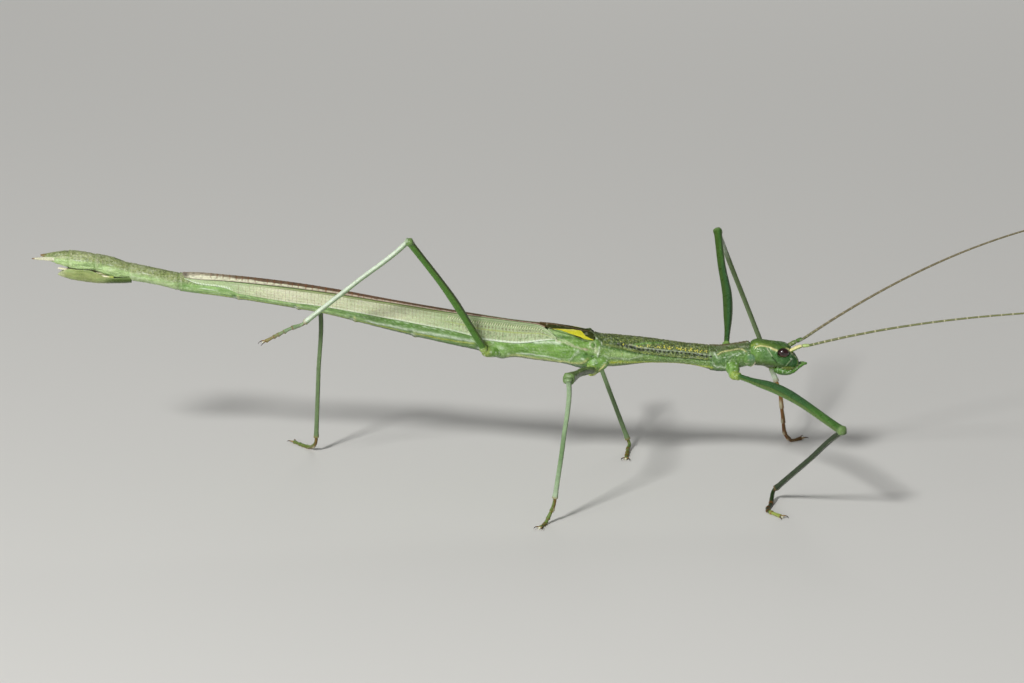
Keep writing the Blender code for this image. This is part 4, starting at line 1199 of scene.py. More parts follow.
def rounded_ends(share, length, start, end):
    """Closes a limb with rounded ends, each over its own length in mm."""
    near, far = share * length / max(start, 1e-6), (1 - share) * length / max(end, 1e-6)
    return np.sqrt(np.clip(1 - (1 - np.clip(near, 0, 1)) ** 2, 0, 1)) * np.sqrt(
        np.clip(1 - (1 - np.clip(far, 0, 1)) ** 2, 0, 1)
    )


def pressed(radius, least, across, ends):
    """A limb's width: its radius by the share along, pressed to a least share of it one way.

    across is the sine where its sides are pressed and the cosine where its back is. ends are the
    length and how much of it each rounded end takes, in mm.
    """

    def width(share, turn):
        squeeze = least + (1 - least) * np.abs(across(turn * ARC))
        return radius(share) * squeeze * rounded_ends(share, *ends)

    return width


def read_first(rows):
    """A reader of rows (share, value) that gives plain numbers."""
    read = smooth(rows)
    return lambda share: read(share)[..., 0]


def within_joint(share, joints):
    """How far along its own joint a place is, from 0 to 1."""
    return np.interp(share, joints, range(len(joints))) % 1.0


def fading(start, to, low, high):
    """A tint function: one pigment that turns into another between two shares along."""
    return lambda share, turn: laid(all_over(start, share.shape), ramp(share, low, high), to)


def tube_part(surface, shares, tint, sides=28):
    """A limb's surface as a closed part, its tint a function of the share along and the turn."""
    turn = np.arange(sides) * 360 / sides
    share, turn = np.broadcast_arrays(np.asarray(shares)[:, None], turn[None, :])
    return closed_skin(surface(share, turn), tint(share, turn))


def plain(name):
    """A tint function of one pigment."""
    return lambda share, turn: all_over(name, share.shape)


def run_length(path):
    """A path's length."""
    return float(np.linalg.norm(np.diff(path, axis=0), axis=1).sum())


bristle_beds = []
BRISTLE_PATCH = 0.003  # side of a bristle's patch in the map


def bristles(surface, along, turn, length, radius, lean, name, unwrap):
    """Bristles on a surface: three-sided, leaning back along it, thinnest at the tip."""
    here, out, ahead = footing(surface, along, turn)
    count = len(here)
    way = unit(out + lean * ahead + 0.25 * RANDOM.normal(size=(count, 3)))
    side = unit(np.cross(way, ahead + 0.01))
    up = np.cross(side, way)
    spin = np.arange(3) * 2 * math.pi / 3
    ring = np.cos(spin)[None, :, None] * side[:, None] + np.sin(spin)[None, :, None] * up[:, None]
    foot = (here - 0.02 * out)[:, None] + radius * ring
    bend = here + 0.55 * length[:, None] * way
    middle = bend[:, None] + 0.6 * radius * ring
    tip = (here + length[:, None] * unit(way + 0.35 * lean * ahead))[:, None]
    points = np.concatenate((foot, middle, tip), axis=1)
    caps = np.concatenate((cap(3, 3, 6), [[2, 1, 0]]))
    u, v = unwrap(along, turn)
    corner = np.array(((0, 0), (1, 0), (0, 1), (0, 0.5), (1, 0.5), (0.5, 1), (0.5, 1))) * BRISTLE_PATCH
    patches = (np.column_stack((u, v))[:, None] + corner[None]).reshape(-1, 2)
    bristle_beds.append((repeated(points, band(3), caps, all_over(name, (count,))), patches))


def sown(surface, count, alongs, turns, lengths, radius, lean, name, unwrap):
    """Bristles at random places: least and most of the places along, of the turns and of the lengths."""
    along = RANDOM.uniform(*alongs, count)
    turn = RANDOM.uniform(*turns, count)
    bristles(surface, along, turn, RANDOM.uniform(*lengths, count), radius, lean, name, unwrap)


def keel_turns(count):
    """Random turns near the four keels of a leg."""
    return RANDOM.choice((45, 135, 225, 315), count) + RANDOM.normal(0, 8, count)


def strip_of_map(slot_number):
    """Where bristles of one limb lie in the map: a narrow strip of its own, share along, turn across."""
    def unwrap(along, turn):
        return 0.02 + 0.95 * np.clip(along, 0, 1), 0.5 + 0.02 * slot_number + 0.015 * ((turn % 360) / 360)

    return unwrap


def body_map(x, turn):
    """Where bristles of the body lie in the map: X along, turn across."""
    return 0.02 + 0.95 * (x + 47) / 72, 0.02 + 0.44 * ((turn % 360) / 360)


def femur_tint(name):
    """Colours round a femur. A fore one has a teal back, a dark line, and brown dots on an olive middle."""
    pair, side = name.split("_")

    def tint(share, turn):
        up = side_angle(turn)
        colour = all_over("leg green", share.shape)
        colour = laid(colour, 0.3 * ramp(np.sin(share * 40 + up * 0.1), 0.2, 1), "leaf")
        if pair == "fore":
            near = 1 - 0.7 * ramp(share, 0.6, 0.75)
            colour = laid(colour, 0.9 * ramp(up, 20, 28) * near, "leg teal")
            colour = laid(colour, 0.7 * bell(up, 22, 5) * near, "ink")
            colour = laid(colour, 0.7 * bell(up, -2, 12), "leg olive")
            dots = ramp(np.sin(share * 2 * math.pi * 44), 0.1, 0.8) * bell(up, -1, 5)
            colour = laid(colour, 0.6 * dots, "umber")
            colour = laid(colour, 0.45 * bell(up, -34, 12), "leaf")
            colour = laid(colour, 0.65 * (side == "left") * ramp(turn % 360, 60, 100), "under")
        else:
            colour = laid(colour, 0.85 * (pair == "hind"), "hind green")
            colour = laid(colour, 0.9 * (pair == "middle"), "under")
            keel = np.abs(np.sin(2 * turn * ARC)) ** 8
            colour = laid(colour, 0.3 * keel, "leaf")
            colour = laid(colour, 0.5 * ramp(up, 35, 60), "brow")
            colour = laid(colour, (0.2 if pair == "middle" else 0.5) * ramp(up, 64, 80), "bark")
        colour = laid(colour, 0.6 * ramp(share, 0.05, 0.01), "leaf")
        return laid(colour, 0.8 * ramp(share, 0.96, 0.985), "knee")

    return tint


def tibia_tint(name):
    """Colours along a tibia: the right fore one is dark green, painted shade, the others a greyish pale green.
    """
    # painted shade: the right fore tibia is laid nearly black green all along
    dark = name == "fore_right"

    def tint(share, turn):
        up = side_angle(turn)
        colour = all_over("shin dark" if dark else "shin", share.shape)
        pale = {"hind_right": 0.75, "middle_right": 0.25}.get(name, 0)
        colour = layered(
            colour,
            (pale * ramp(up, -10, 50), "chalk"),
            (0.5 * (name in ("middle_left", "hind_left")), "under"),
            (0.35 * (name == "middle_right") * (1 - 0.8 * ramp(share, 0.85, 0.97)), "hind green"),
            # painted shadow of the body across the hind left tibia's upper part
            (0.6 * (name == "hind_left") * ramp(share, 0.3, 0.12), "shin dark"),
            (0.4 * bell(up, -34, 14), "ink" if dark else "leaf"),
        )
        band = bell(share, 0.6, 0.16) * (name == "middle_right")
        return layered(
            colour,
            (0.55 * band, "leg green"),
            (0.45 * (name == "fore_left"), "leg olive"),
            (0.8 * (name == "fore_left") * ramp(share, 0.22, 0.08), "chalk"),
            (0.7 * ramp(share, 0.04, 0), "knee"),
            (0.5 * ramp(share, 0.9, 0.96) * (name == "fore_left"), "chalk"),
            (0.5 * ramp(share, 0.97, 0.99), "tan"),
        )

    return tint


def foot_tint(name):
    """Colours along a foot: tan or green joints, rusty where one meets the next, paler pads."""
    ground = {"fore_left": "tan", "hind_right": "shin", "fore_right": "shin dark"}.get(name, "leg olive")

    def tint(share, turn):
        along = within_joint(share, FOOT_JOINTS)
        colour = all_over(ground, share.shape)
        return layered(
            colour,
            (0.35 * ramp(np.sin(turn * ARC), 0.2, 0.9) * (name not in ("fore_right", "fore_left")), "leaf"),
            (0.6 * ramp(share, 0.5, 0.9) * (name == "hind_right"), "tan"),
            (0.6 * ramp(share, 0.2, 0.6) * (name == "fore_left"), "bark"),
            (0.75 * ramp(share, 0.72, 0.8) * (name == "fore_right"), "grain"),
            (0.6 * ramp(-np.sin(turn * ARC), 0.3, 0.8), "rust"),
            (0.7 * ramp(np.abs(along - 0.5), 0.42, 0.49), "rust"),
            (0.6 * ramp(along, 0.6, 0.8) * ramp(-np.sin(turn * ARC), 0.5, 0.9), "cream"),
        )

    return tint


def make_foot(name, ankle, lead, points, slot_number):
    """Five joints, each flared to its end with a pad below, then two hooked claws and the pad between."""
    path = route((ankle - 0.15 * lead, ankle + 0.45 * lead, *points), 160)
    path[:, 2] -= 0.06 * ramp(path[:, 2], 0.6, 0.25)
    length = run_length(path)

    def width(share, turn):
        along = within_joint(share, FOOT_JOINTS)
        last = ramp(share, 0.79, 0.81)
        flare = (0.185 if name.startswith("fore") else 0.165) + 0.055 * along**2 - 0.02 * last
        notch = 1 - 0.22 * bell(along, 0, 0.05) * ramp(share, 0.05, 0.1)
        pad = 0.05 * bell(along, 0.84, 0.12) * np.clip(-np.sin(turn * ARC), 0, 1)
        return (flare * notch + pad) * rounded_ends(share, length, 0.12, 0.14)

    surface = limb(path, NEARLY_UP, width)
    part = tube_part(surface, np.linspace(0, 1, 190), foot_tint(name), 20)
    part[0][:, 2] = np.maximum(part[0][:, 2], 0)
    ahead = unit(path[-1] - path[-12])
    across = unit(np.cross(ahead, (0, 0, 1)))
    parts = [part]
    for flip in (1, -1):
        root = path[-1] - 0.12 * ahead + 0.06 * flip * across
        low = max(path[-1][2] - 0.1, 0.03) - path[-1][2]
        hook = bezier(
            (
                root,
                root + 0.35 * ahead + 0.3 * flip * across + (0, 0, 0.16),
                root + 0.68 * ahead + 0.42 * flip * across + (0, 0, 0.1),
                root + 0.78 * ahead + 0.36 * flip * across + (0, 0, low),
            ),
            40,
        )
        claw = limb(
            hook, NEARLY_UP, pressed(lambda s: 0.075 * (1 - 0.93 * s**1.3), 1, np.cos, (1, 0.05, 0.02)),
        )
        parts.append(tube_part(claw, np.linspace(0, 1, 26), fading("tan", "claw", 0.1, 0.6), 12))
    pad_path = route([path[-1] + step * ahead for step in (-0.1, 0.14, 0.32)], 20)
    pad = limb(pad_path, NEARLY_UP, pressed(lambda s: 0.1 + 0.05 * s, 0.6, np.cos, (0.42, 0.1, 0.16)))
    parts.append(tube_part(pad, np.linspace(0, 1, 20), plain("dusk"), 14))
    for made in parts[1:]:
        made[0][:, 2] = np.maximum(made[0][:, 2], 0)
    piece(f"foot_{name}", parts, FOOT_SHELL, [f"tarsus_{name}"])
    sown(surface, 110, (0.05, 0.95), (-25, 205), (0.08, 0.17), 0.009, 0.9, "cream", strip_of_map(slot_number))


def make_leg(name, coxa, femur, ankle, foot, number):
    """Coxa with its small second joint, femur, tibia and foot, each seated in the one before."""
    pair = name.split("_")[0]
    root, end, base, middle, knee_radius, shin = THICKNESS[pair]
    femur, ankle = np.array(femur), np.array(ankle)
    first, knee = unit(femur[1] - femur[0]), femur[-1]
    thigh, down = unit(knee - femur[-2]), unit(ankle - knee)
    below = down - thigh.dot(down) * thigh
    outer = thigh - thigh.dot(down) * down

    path = route((*coxa, femur[0] - 0.5 * first, femur[0] + 0.45 * first), 80)
    length = run_length(path)

    def coxa_width(share, turn):
        taper = np.interp(
            share, (0, 0.3, 0.5, 0.72, 0.8, 0.9, 1),
            (0.9 * root, root, 0.5 * (root + end), end, end * 0.8, end * 0.86, base),
        )
        folds = 0.006 * np.sin(share * 46 + 2 * np.sin(turn * ARC)) * ramp(share, 0.7, 0.5)
        return taper * keeled(turn, 0.06) * rounded_ends(
            share, length, 0.3, 0.2,
        ) + folds * ramp(share, 0.1, 0.3)

    def coxa_tint(share, turn):
        points = surface(share, turn)
        cloud = ripple(points, 0.28, 71)
        colour = laid(
            all_over("leaf", share.shape), (0.7 if pair == "hind" else 0.3) * ramp(cloud, -0.4, 0.8), "fresh",
        )
        colour = laid(colour, 0.45 * ramp(-cloud, 0, 0.7), "leg green")
        colour = laid(colour, (0.15 if "left" in name else 0.55) * ramp(share, 0.55, 0.75), "grain")
        colour = laid(colour, 0.5 * bell(share, 0.8, 0.02), "moss")
        # painted glints: chalk-white flecks over the coxa
        painted_glints = ramp(ripple(points, 0.16, 72), 0.55, 0.75)
        return laid(laid(colour, 0.5 * painted_glints, "chalk"), 0.4 * ramp(share, 0.88, 0.97), "leg green")

    surface = limb(path, -below, coxa_width)
    parts = [tube_part(surface, np.linspace(0, 1, 90), coxa_tint, 32)]
    if pair == "middle":
        flip = math.copysign(1, femur[0][1])
        cone_path = route(np.array(CONE_LINE) * (1, flip, 1), 60)
        read_cone = smooth(CONE_SIZE)

        def cone_width(share, turn):
            long, broad = np.moveaxis(read_cone(share), -1, 0)
            oval_size = long * broad / np.hypot(broad * np.sin(turn * ARC), long * np.cos(turn * ARC))
            return oval_size * rounded_ends(share, 2.1, 0.1, 0.35)

        def cone_tint(share, turn):
            around = (turn + 180) % 360 - 180
            cloud = ripple(cone(share, turn), 0.3, 73)
            colour = laid(all_over("leaf", share.shape), 0.3 * ramp(cloud, 0, 0.8), "fresh")
            return layered(
                colour,
                (0.8 * ramp(-cloud, -0.2, 0.7), "leg green"),
                (0.75 * ramp(share, 0.5, 0.85), "grain"),
                # painted glints: chalk-white flecks on the cone
                (0.35 * ramp(ripple(cone(share, turn), 0.15, 74), 0.45, 0.7), "chalk"),
                (0.75 * np.exp(-(((share - 0.62) / 0.1) ** 2) - ((around - 18) / 16) ** 2), "deep"),
                (0.9 * bell(around, 66, 5) * ramp(share, 0.25, 0.4) * ramp(share, 0.95, 0.8), "straw"),
            )

        cone = limb(cone_path, (1, 0, 0.001), cone_width)
        parts.append(tube_part(cone, np.linspace(0, 1, 70), cone_tint, 60))
    piece(f"coxa_joint_{name}", parts, LEG_SHELL, [f"coxa_{name}"])

    path = route((femur[0] - 0.1 * first, *femur[1:-1], knee + 0.24 * thigh), 200)
    length = run_length(path)
    radii = (
        base * 0.95, base * 1.05, middle * 0.9, middle, middle * 0.86, knee_radius * 0.92, knee_radius * 0.96,
    )
    read_width = read_first(tuple(zip((0, 0.1, 0.24, 0.38, 0.6, 0.92, 1), radii)))

    def femur_width(share, turn):
        lobe = 0.07 * np.exp(-(((1 - share) * length - 0.35) / 0.3) ** 2)
        keel = keeled(turn, 0.1 if pair == "fore" else 0.13)
        return (read_width(share) * keel + lobe) * rounded_ends(share, length, 0.1, 0.28)

    thigh_surface = limb(path, -below, femur_width)
    shares = np.concatenate((np.linspace(0, 0.94, 150), np.linspace(0.945, 1, 40)))
    part = tube_part(thigh_surface, shares, femur_tint(name), 36)
    piece(f"femur_shell_{name}", [part], LEG_SHELL, [f"femur_{name}"])

    bow = np.array((0.18, 0, 0)) * (name == "middle_right")
    head_out = (0.34 if name == "middle_right" else 0.12) * thigh
    below_knee = knee + 0.5 * down - 0.05 * unit(outer) + 0.7 * head_out + 0.6 * bow
    half_way = knee + 0.5 * (ankle - knee) + bow
    path = route((knee - 0.12 * down + head_out, below_knee, half_way, ankle + 0.05 * down), 160)
    length = run_length(path)

    def tibia_width(share, turn):
        run = share * length
        head = 0.55 * (knee_radius - shin) * bell(run, 0, 0.35)
        ankle_flare = 0.05 * ramp(share, 1 - 0.9 / length, 1)
        plain_width = (shin * (1 - 0.08 * np.sin(share * math.pi))) * keeled(turn, 0.14)
        return (plain_width + head + ankle_flare) * rounded_ends(share, length, 0.1, 0.06)

    shank_surface = limb(path, outer, tibia_width)
    part = tube_part(shank_surface, np.linspace(0, 1, 170), tibia_tint(name), 28)
    piece(f"tibia_shell_{name}", [part], LEG_SHELL, [f"tibia_{name}"])
    count = 170
    bristles(shank_surface, RANDOM.uniform(0.04, 0.99, count), keel_turns(count),
             RANDOM.uniform(0.08, 0.16, count), 0.008, 0.8, "cream", strip_of_map(number))
    count = 120
    bristles(thigh_surface, RANDOM.uniform(0.04, 0.97, count), keel_turns(count),
             RANDOM.uniform(0.06, 0.12, count), 0.008, 0.8, "cream", strip_of_map(number + 6))
    make_foot(name, ankle, down, foot, number + 12)


# Lines on the head: places of X and angle, half width, height, pigment and strength
HEAD_LINES = (
    (((24.29, 35), (24.5, 40), (24.78, 43), (25.3, 44), (25.77, 42), (26.05, 37)), 0.07, 0.035, "straw", 0.95),
    (((25.9, 38), (26.2, 34), (26.45, 31)), 0.11, 0.035, "straw", 0.95),
    (((27.45, 44), (27.8, 48), (27.95, 52)), 0.12, 0.03, "straw", 1),
    (((25.45, 37), (25.76, 18), (25.95, 4)), 0.04, 0.025, "cream", 0.6),
    (((25.97, 1), (26.22, -12), (26.46, -25)), 0.055, -0.07, "ink", 0.95),
    (
        ((26.2, -60), (26.7, -66), (27.4, -70), (28.2, -66), (28.5, -45), (28.67, -22)), 0.09, -0.04, "rust",
        0.55,
    ),
    (((26.39, 82), (26.77, 66), (27.12, 58)), 0.06, -0.05, "ink", 0.6),
    (((26, 88), (26.59, 84), (27.29, 78)), 0.05, 0.03, "sage", 0.5),
    (((27.7, 62), (28, 56)), 0.08, -0.03, "ink", 0.5),
    (((27.9, 8), (27.8, -4), (27.62, -18), (27.36, -41)), 0.032, 0.04, "cream", 0.55),
    (((27.99, 2), (27.86, -12), (27.6, -40)), 0.035, -0.05, "ink", 0.7),
    (((27.76, 6), (27.56, -10), (27.25, -34)), 0.035, -0.04, "deep", 0.6),
    (((28.33, 66), (28.4, 50)), 0.05, 0.03, "sage", 0.5),
    (((28.56, 40), (28.62, 0), (28.5, -35)), 0.06, 0.03, "grain", 0.6),
    (((27.61, 40), (27.66, 21), (27.62, 8)), 0.05, -0.03, "ink", 0.4),
)
# Spots on the head: X, angle, half length and half breadth, pigment, strength. The chalk and dusk spots are
# painted glints.
HEAD_SPOTS = (
    (24.46, 50, 0.11, 0.06, "chalk", 0.6),
    (27.88, 8, 0.1, 0.05, "chalk", 0.95),
    (27.97, 14, 0.1, 0.045, "chalk", 0.7),
    (27.92, 40, 0.16, 0.09, "dusk", 0.45),
    (27.4, 80, 0.16, 0.05, "chalk", 0.5),
    (28.32, 50, 0.12, 0.16, "dusk", 0.45),
    (26.36, 20, 0.06, 0.05, "deep", 0.7),
    (26.9, -8, 0.4, 0.2, "sage", 0.3),
    (28.1, 4, 0.3, 0.3, "ink", 0.25),
)


def from_eye(points):
    """How far places are from an eye's middle, seen from the side, in half sizes of the eye."""
    return np.hypot(*((points[..., k] - EYE_PLACE[k]) / EYE_HALVES[k] for k in (0, 2)))


def head_point(x, turn):
    """A point of the head capsule: its outline with two lobes behind, ridges, grooves and eye rims."""
    x, turn = grids(x, turn)
    angle = side_angle(turn)
    plain_point = oval(read_head, x, turn)
    out = np.zeros(np.shape(x))
    for path, width, height, _, _ in HEAD_LINES:
        out = out + height * stroke(x, wander(x, angle), path, width)
    out += 0.07 * np.exp(-(((x - 24.5) / 0.35) ** 2) - ((angle - 66) / 14) ** 2)
    out -= 0.06 * np.exp(-(((x - 24.4) / 0.7) ** 2) - ((angle - 92) / 7) ** 2)
    out += 0.04 * np.exp(-(((x - 26.9) / 0.9) ** 2) - ((angle + 22) / 26) ** 2)
    near = from_eye(plain_point)
    aside = ramp(np.abs(plain_point[..., 1]), 0.5, 0.8)
    out += aside * (0.03 * bell(near, 1.15, 0.12) - 0.16 * ramp(near, 1.06, 0.85))
    socket = np.sqrt(
        (x - 27.85) ** 2 + (np.abs(plain_point[..., 1]) - 0.52) ** 2 + (plain_point[..., 2] - 14.12) ** 2
    )
    out += 0.09 * bell(socket, 0.3, 0.09) - 0.05 * ramp(socket, 0.25, 0.1)
    face = 1 + 1.5 * ramp(x, 27.4, 27.8)
    out += face * (0.012 * ripple(plain_point, 0.2, 41) + 0.007 * ripple(plain_point, 0.09, 42))
    fade = ramp(28.76 - x, 0, 0.15)
    return oval(read_head, x, turn, out * fade)


def head_tint(x, angle, points):
    """Leafy green behind, olive green above, blue-green cheeks, a dark blue-green face, painted shade
    darkening the lower side, yellower below at the back.
    """
    tint = laid(all_over("teal", points.shape[:-1]), 0.75 * ramp(x, 27.2, 25.4), "sage")
    tint = layered(
        tint,
        (0.7 * ramp(x, 25.2, 24.3), "leaf"),
        (0.9 * ramp(angle, 36, 47), "brow"),
        (0.5 * ramp(angle, 46, 62) * ramp(x, 25.8, 26.8), "leg teal"),
        (0.45 * ramp(angle, 40, 46) * ramp(angle, 62, 50) * ramp(x, 26, 25.2), "grain"),
        # painted shade: the lower side darkens to olive, then to dark green toward the bottom
        (0.8 * ramp(angle, -4, -40) * ramp(x, 27.8, 26), "brow"),
        (0.92 * ramp(angle, -20, -54) * ramp(x, 28, 26.8), "under"),
        (0.5 * ramp(angle, -60, -82) * ramp(x, 27, 26), "leg olive"),
        (0.45 * ramp(x, 27.3, 27.9) * ramp(angle, -60, -30), "leg teal"),
        (0.08 * ramp(ripple(points, 0.22, 44), 0.1, 0.8), "chalk"),
        (0.36 * ramp(ripple(points * (0.5, 1, 1), 0.14, 45), 0.1, 0.8), "deep"),
    )
    worn = 0.8 + 0.3 * ripple(points, 0.2, 64)
    for path, width, _, name, strength in HEAD_LINES:
        tint = laid(tint, strength * worn * stroke(x, wander(x, angle), path, width), name)
    # the chalk and dusk spots among these are painted glints
    for x_at, middle, long, broad, name, strength in HEAD_SPOTS:
        tint = laid(tint, strength * spot(x, angle, (x_at, middle, long, broad)), name)
    near = from_eye(points)
    return laid(tint, 0.6 * bell(near, 1.03, 0.06) * (np.abs(points[..., 1]) > 0.5), "ink")


def make_head():
    """The head capsule, drawn from a rim round the neck forward to the upper lip."""
    x = np.concatenate((spaced(((23.86, 0.03), (24.3, 0.042), (28.2, 0.03), (28.75, 0.03)))[:-1], [28.755]))
    turn = 90 - np.arange(200) * 1.8
    grid_x, grid_turn = np.broadcast_arrays(x[:, None], turn[None, :])
    points = head_point(grid_x, grid_turn)
    tint = head_tint(grid_x, side_angle(grid_turn), points)
    rim = points[0]
    centre = np.array((24.2, 0, 13.78))
    inner = [centre + (rim - rim.mean(axis=0)) * size + (shift, 0, 0)
             for size, shift in ((0.62, 0.1), (0.66, -0.18), (0.76, -0.3), (0.9, -0.345))]
    points = np.concatenate((np.array(inner), points))
    tint = np.concatenate((np.repeat(tint[:1], 4, axis=0), tint))
    piece("head_capsule", [closed_skin(points, tint)], HEAD_SHELL, ["head"])


def make_eyes():
    """Two compound eyes, each an oval ball seated in its rim."""
    polar = np.linspace(4, 176, 60)[:, None] * ARC
    round_ = np.arange(90)[None, :] * 4 * ARC
    for side, flip in (("left", 1), ("right", -1)):
        ball = np.stack(
            (
                np.sin(polar) * np.cos(round_), np.cos(polar) * np.ones_like(round_),
                np.sin(polar) * np.sin(round_),
            ), axis=-1
        )
        points = np.array(EYE_PLACE) * (1, flip, 1) + ball * EYE_HALVES
        tint = laid(all_over("eye", points.shape[:-1]), 0.5 * ramp(ball[..., 2], -0.2, -0.8), "rust")
        tint = laid(tint, 0.5 * ramp(np.abs(ball[..., 1]), 0.9, 1), "ink")
        piece(f"eyeball_{side}", [closed_skin(points, tint)], EYE_CORNEA, [f"eye_{side}"])


def make_mouth():
    """Upper lip, jaws, lower lip and the four feelers of the mouth."""
    parts = []

    def blob(points, widths, flat, name, other, spots=0.15):
        """A swollen part round a path, turning into another pigment to its end, with pale spots painted on as
        glints.
        """
        path = route(points, 40)
        radius = read_first(tuple(zip(np.linspace(0, 1, len(widths)), widths)))
        shape = limb(path, NEARLY_UP, pressed(radius, flat, np.cos, (run_length(path), 0.15, 0.12)))

        def colour(share, turn):
            # painted glints: chalk-white flecks, as strong as spots says
            glint_spots = spots * ramp(ripple(shape(share, turn), 0.13, 46), 0.25, 0.6)
            return layered(all_over(name, share.shape), (ramp(share, 0.5, 1), other), (glint_spots, "chalk"))

        parts.append(tube_part(shape, np.linspace(0, 1, 44), colour, 24))

    blob(((25.1, 0, 12.95), (25.9, 0, 12.62), (26.5, 0, 12.45)), (0.36, 0.5, 0.42), 0.75, "leg olive", "leaf")
    blob(
        ((26.2, 0, 12.25), (26.9, 0, 12.05), (27.8, 0, 12), (28.4, 0, 12.15)), (0.5, 0.66, 0.6, 0.36), 0.5,
        "leg green", "leaf",
    )
    blob(((28.25, 0, 12.95), (28.58, 0, 12.66), (28.64, 0, 12.38)), (0.4, 0.42, 0.28), 0.4, "teal", "leaf")
    for flip in (1, -1):
        blob(
            ((26.9, 0.55 * flip, 12.6), (27.8, 0.46 * flip, 12.4), (28.42, 0.2 * flip, 12.42)),
            (0.32, 0.34, 0.2), 0.85, "leg olive", "brow",
        )
        cheek = ((26.35, 0.5, 12.3), (27.1, 0.6, 12.12), (28, 0.56, 12.06), (28.5, 0.3, 12.18))
        blob(np.array(cheek) * (1, flip, 1), (0.22, 0.29, 0.25, 0.14), 0.95, "hind green", "leg green", 0.5)
        for number in (0, 1):
            if number == 0:
                track = ((26.6, 0.4, 12), (27.5, 0.62, 11.94), (28.1, 0.74, 12.05), (28.46, 0.76, 12.37),
                         (28.84, 0.76, 12.67), (29.08, 0.75, 12.86), (29.5, 0.72, 12.98))
                if flip > 0:  # the left one is held closer in
                    track = (
                        (26.6, 0.4, 12), (27.5, 0.6, 11.92), (28.2, 0.64, 12.1), (28.7, 0.55, 12.6),
                        (29, 0.52, 12.66), (29.4, 0.5, 12.64),
                    )
                joints, thick = (0, 0.22, 0.45, 0.72, 1), 0.165
            else:
                track = ((26.9, 0.2, 12), (27.5, 0.34, 11.93), (28.1, 0.36, 12))
                joints, thick = (0, 0.35, 0.66, 1), 0.12
            path = route(np.array(track) * (1, flip, 1), 120)
            length = run_length(path)

            def width(share, turn, joints=joints, thick=thick, length=length):
                along = within_joint(share, joints)
                bead = 0.8 + 0.26 * np.sin(math.pi * np.clip(along, 0, 1)) ** 0.6
                return thick * bead * (1 - 0.18 * share) * rounded_ends(share, length, 0.08, 0.12)

            def colour(share, turn, joints=joints):
                along = within_joint(share, joints)
                green = laid(
                    all_over("leg green", share.shape), 0.3 * ramp(np.sin(turn * ARC), 0.2, 1), "fresh",
                )
                return laid(green, 0.5 * ramp(np.abs(along - 0.5), 0.42, 0.5), "deep")

            palp = limb(path, NEARLY_UP, width)
            parts.append(tube_part(palp, np.linspace(0, 1, 110), colour, 18))
            count = 110 if number == 0 else 20
            sown(
                palp, count, (0.3, 0.98), (0, 360), (0.06, 0.14), 0.007, 0.7, "cream",
                strip_of_map(19 + (flip > 0)),
            )
    piece("mouth", parts, HEAD_SHELL, ["mouthparts"])


def make_feelers():
    """Antennae: a stout first joint, a short second one and a thread of long joints, paler at each."""
    for side, (base, handles) in (("left", ANTENNA_LEFT), ("right", ANTENNA_RIGHT)):
        stem = route(base, 60)
        stem_length = run_length(stem)

        def stem_width(share, turn):
            first = np.interp(share, (0, 0.1, 0.32, 0.6, 0.67), (0.19, 0.22, 0.235, 0.21, 0.14))
            second = np.interp(share, (0.67, 0.71, 0.85, 1), (0.14, 0.18, 0.18, 0.15))
            flat = (1.15 if side == "left" else 1) * (1 - 0.15 * np.abs(np.sin(turn * ARC)) * (share < 0.67))
            return np.where(share < 0.67, first, second) * flat

        def stem_tint(share, turn):
            colour = laid(all_over("straw", share.shape), 0.75 * ramp(share, 0.65, 0.69), "fresh")
            return layered(
                colour,
                (0.85 * ramp(-np.sin(turn * ARC), -0.05, 0.25) * (share < 0.67), "leaf"),
                (0.9 * (side == "left"), "brow"),
                (0.6 * (side == "left") * ramp(share, 0.3, 0.8), "leg green"),
                (0.5 * ramp(ripple(stem_surface(share, turn), 0.12, 47), 0.3, 0.6), "cream"),
                (0.8 * bell(share, 0.675, 0.02), "bark"),
            )

        stem_surface = limb(stem, (0, 0, 1), stem_width)
        parts = [tube_part(stem_surface, np.linspace(0, 1, 70), stem_tint, 24)]
        thread = np.concatenate((stem[-4:-3], bezier(handles, 900)))
        length = run_length(thread)
        steps = np.concatenate((np.cumsum(np.linspace(0.45, 1.25, 12)), 10.2 + 1.15 * np.arange(1, 29)))
        steps = steps[steps < length] / length

        def joint_near(share):
            nearest = np.abs(np.asarray(share)[..., None] - steps).min(axis=-1)
            return np.exp(-((nearest * length / 0.045) ** 2))

        def thread_width(share, turn):
            taper = np.interp(share, (0, 0.1, 0.6, 1), (0.135, 0.12, 0.085, 0.04))
            return taper * (1 + 0.12 * joint_near(share)) * rounded_ends(share, length, 0.05, 0.1)

        def thread_tint(share, turn):
            colour = laid(all_over("feeler", share.shape), 0.55 * (side == "right"), "leg olive")
            colour = laid(colour, 0.3 * ramp(share, 0.05, 0), "leg green")
            return laid(colour, (0.75 if side == "right" else 0.35) * joint_near(share), "bone")

        thread_surface = limb(thread, (0, 0, 1), thread_width)
        parts.append(tube_part(thread_surface, np.linspace(0, 1, 1150), thread_tint, 12))
        piece(f"feeler_{side}", parts, FEELER_SHELL, [f"antenna_{side}"])
        of_map = strip_of_map(21 + (side == "left"))
        sown(stem_surface, 60, (0.3, 0.99), (0, 360), (0.06, 0.14), 0.008, 0.6, "umber", of_map)
        count = 260
        bristles(thread_surface, RANDOM.uniform(0, 0.7, count) ** 1.6, RANDOM.uniform(0, 360, count),
                 RANDOM.uniform(0.05, 0.11, count), 0.006, 0.8, "dusk", strip_of_map(23 + (side == "left")))


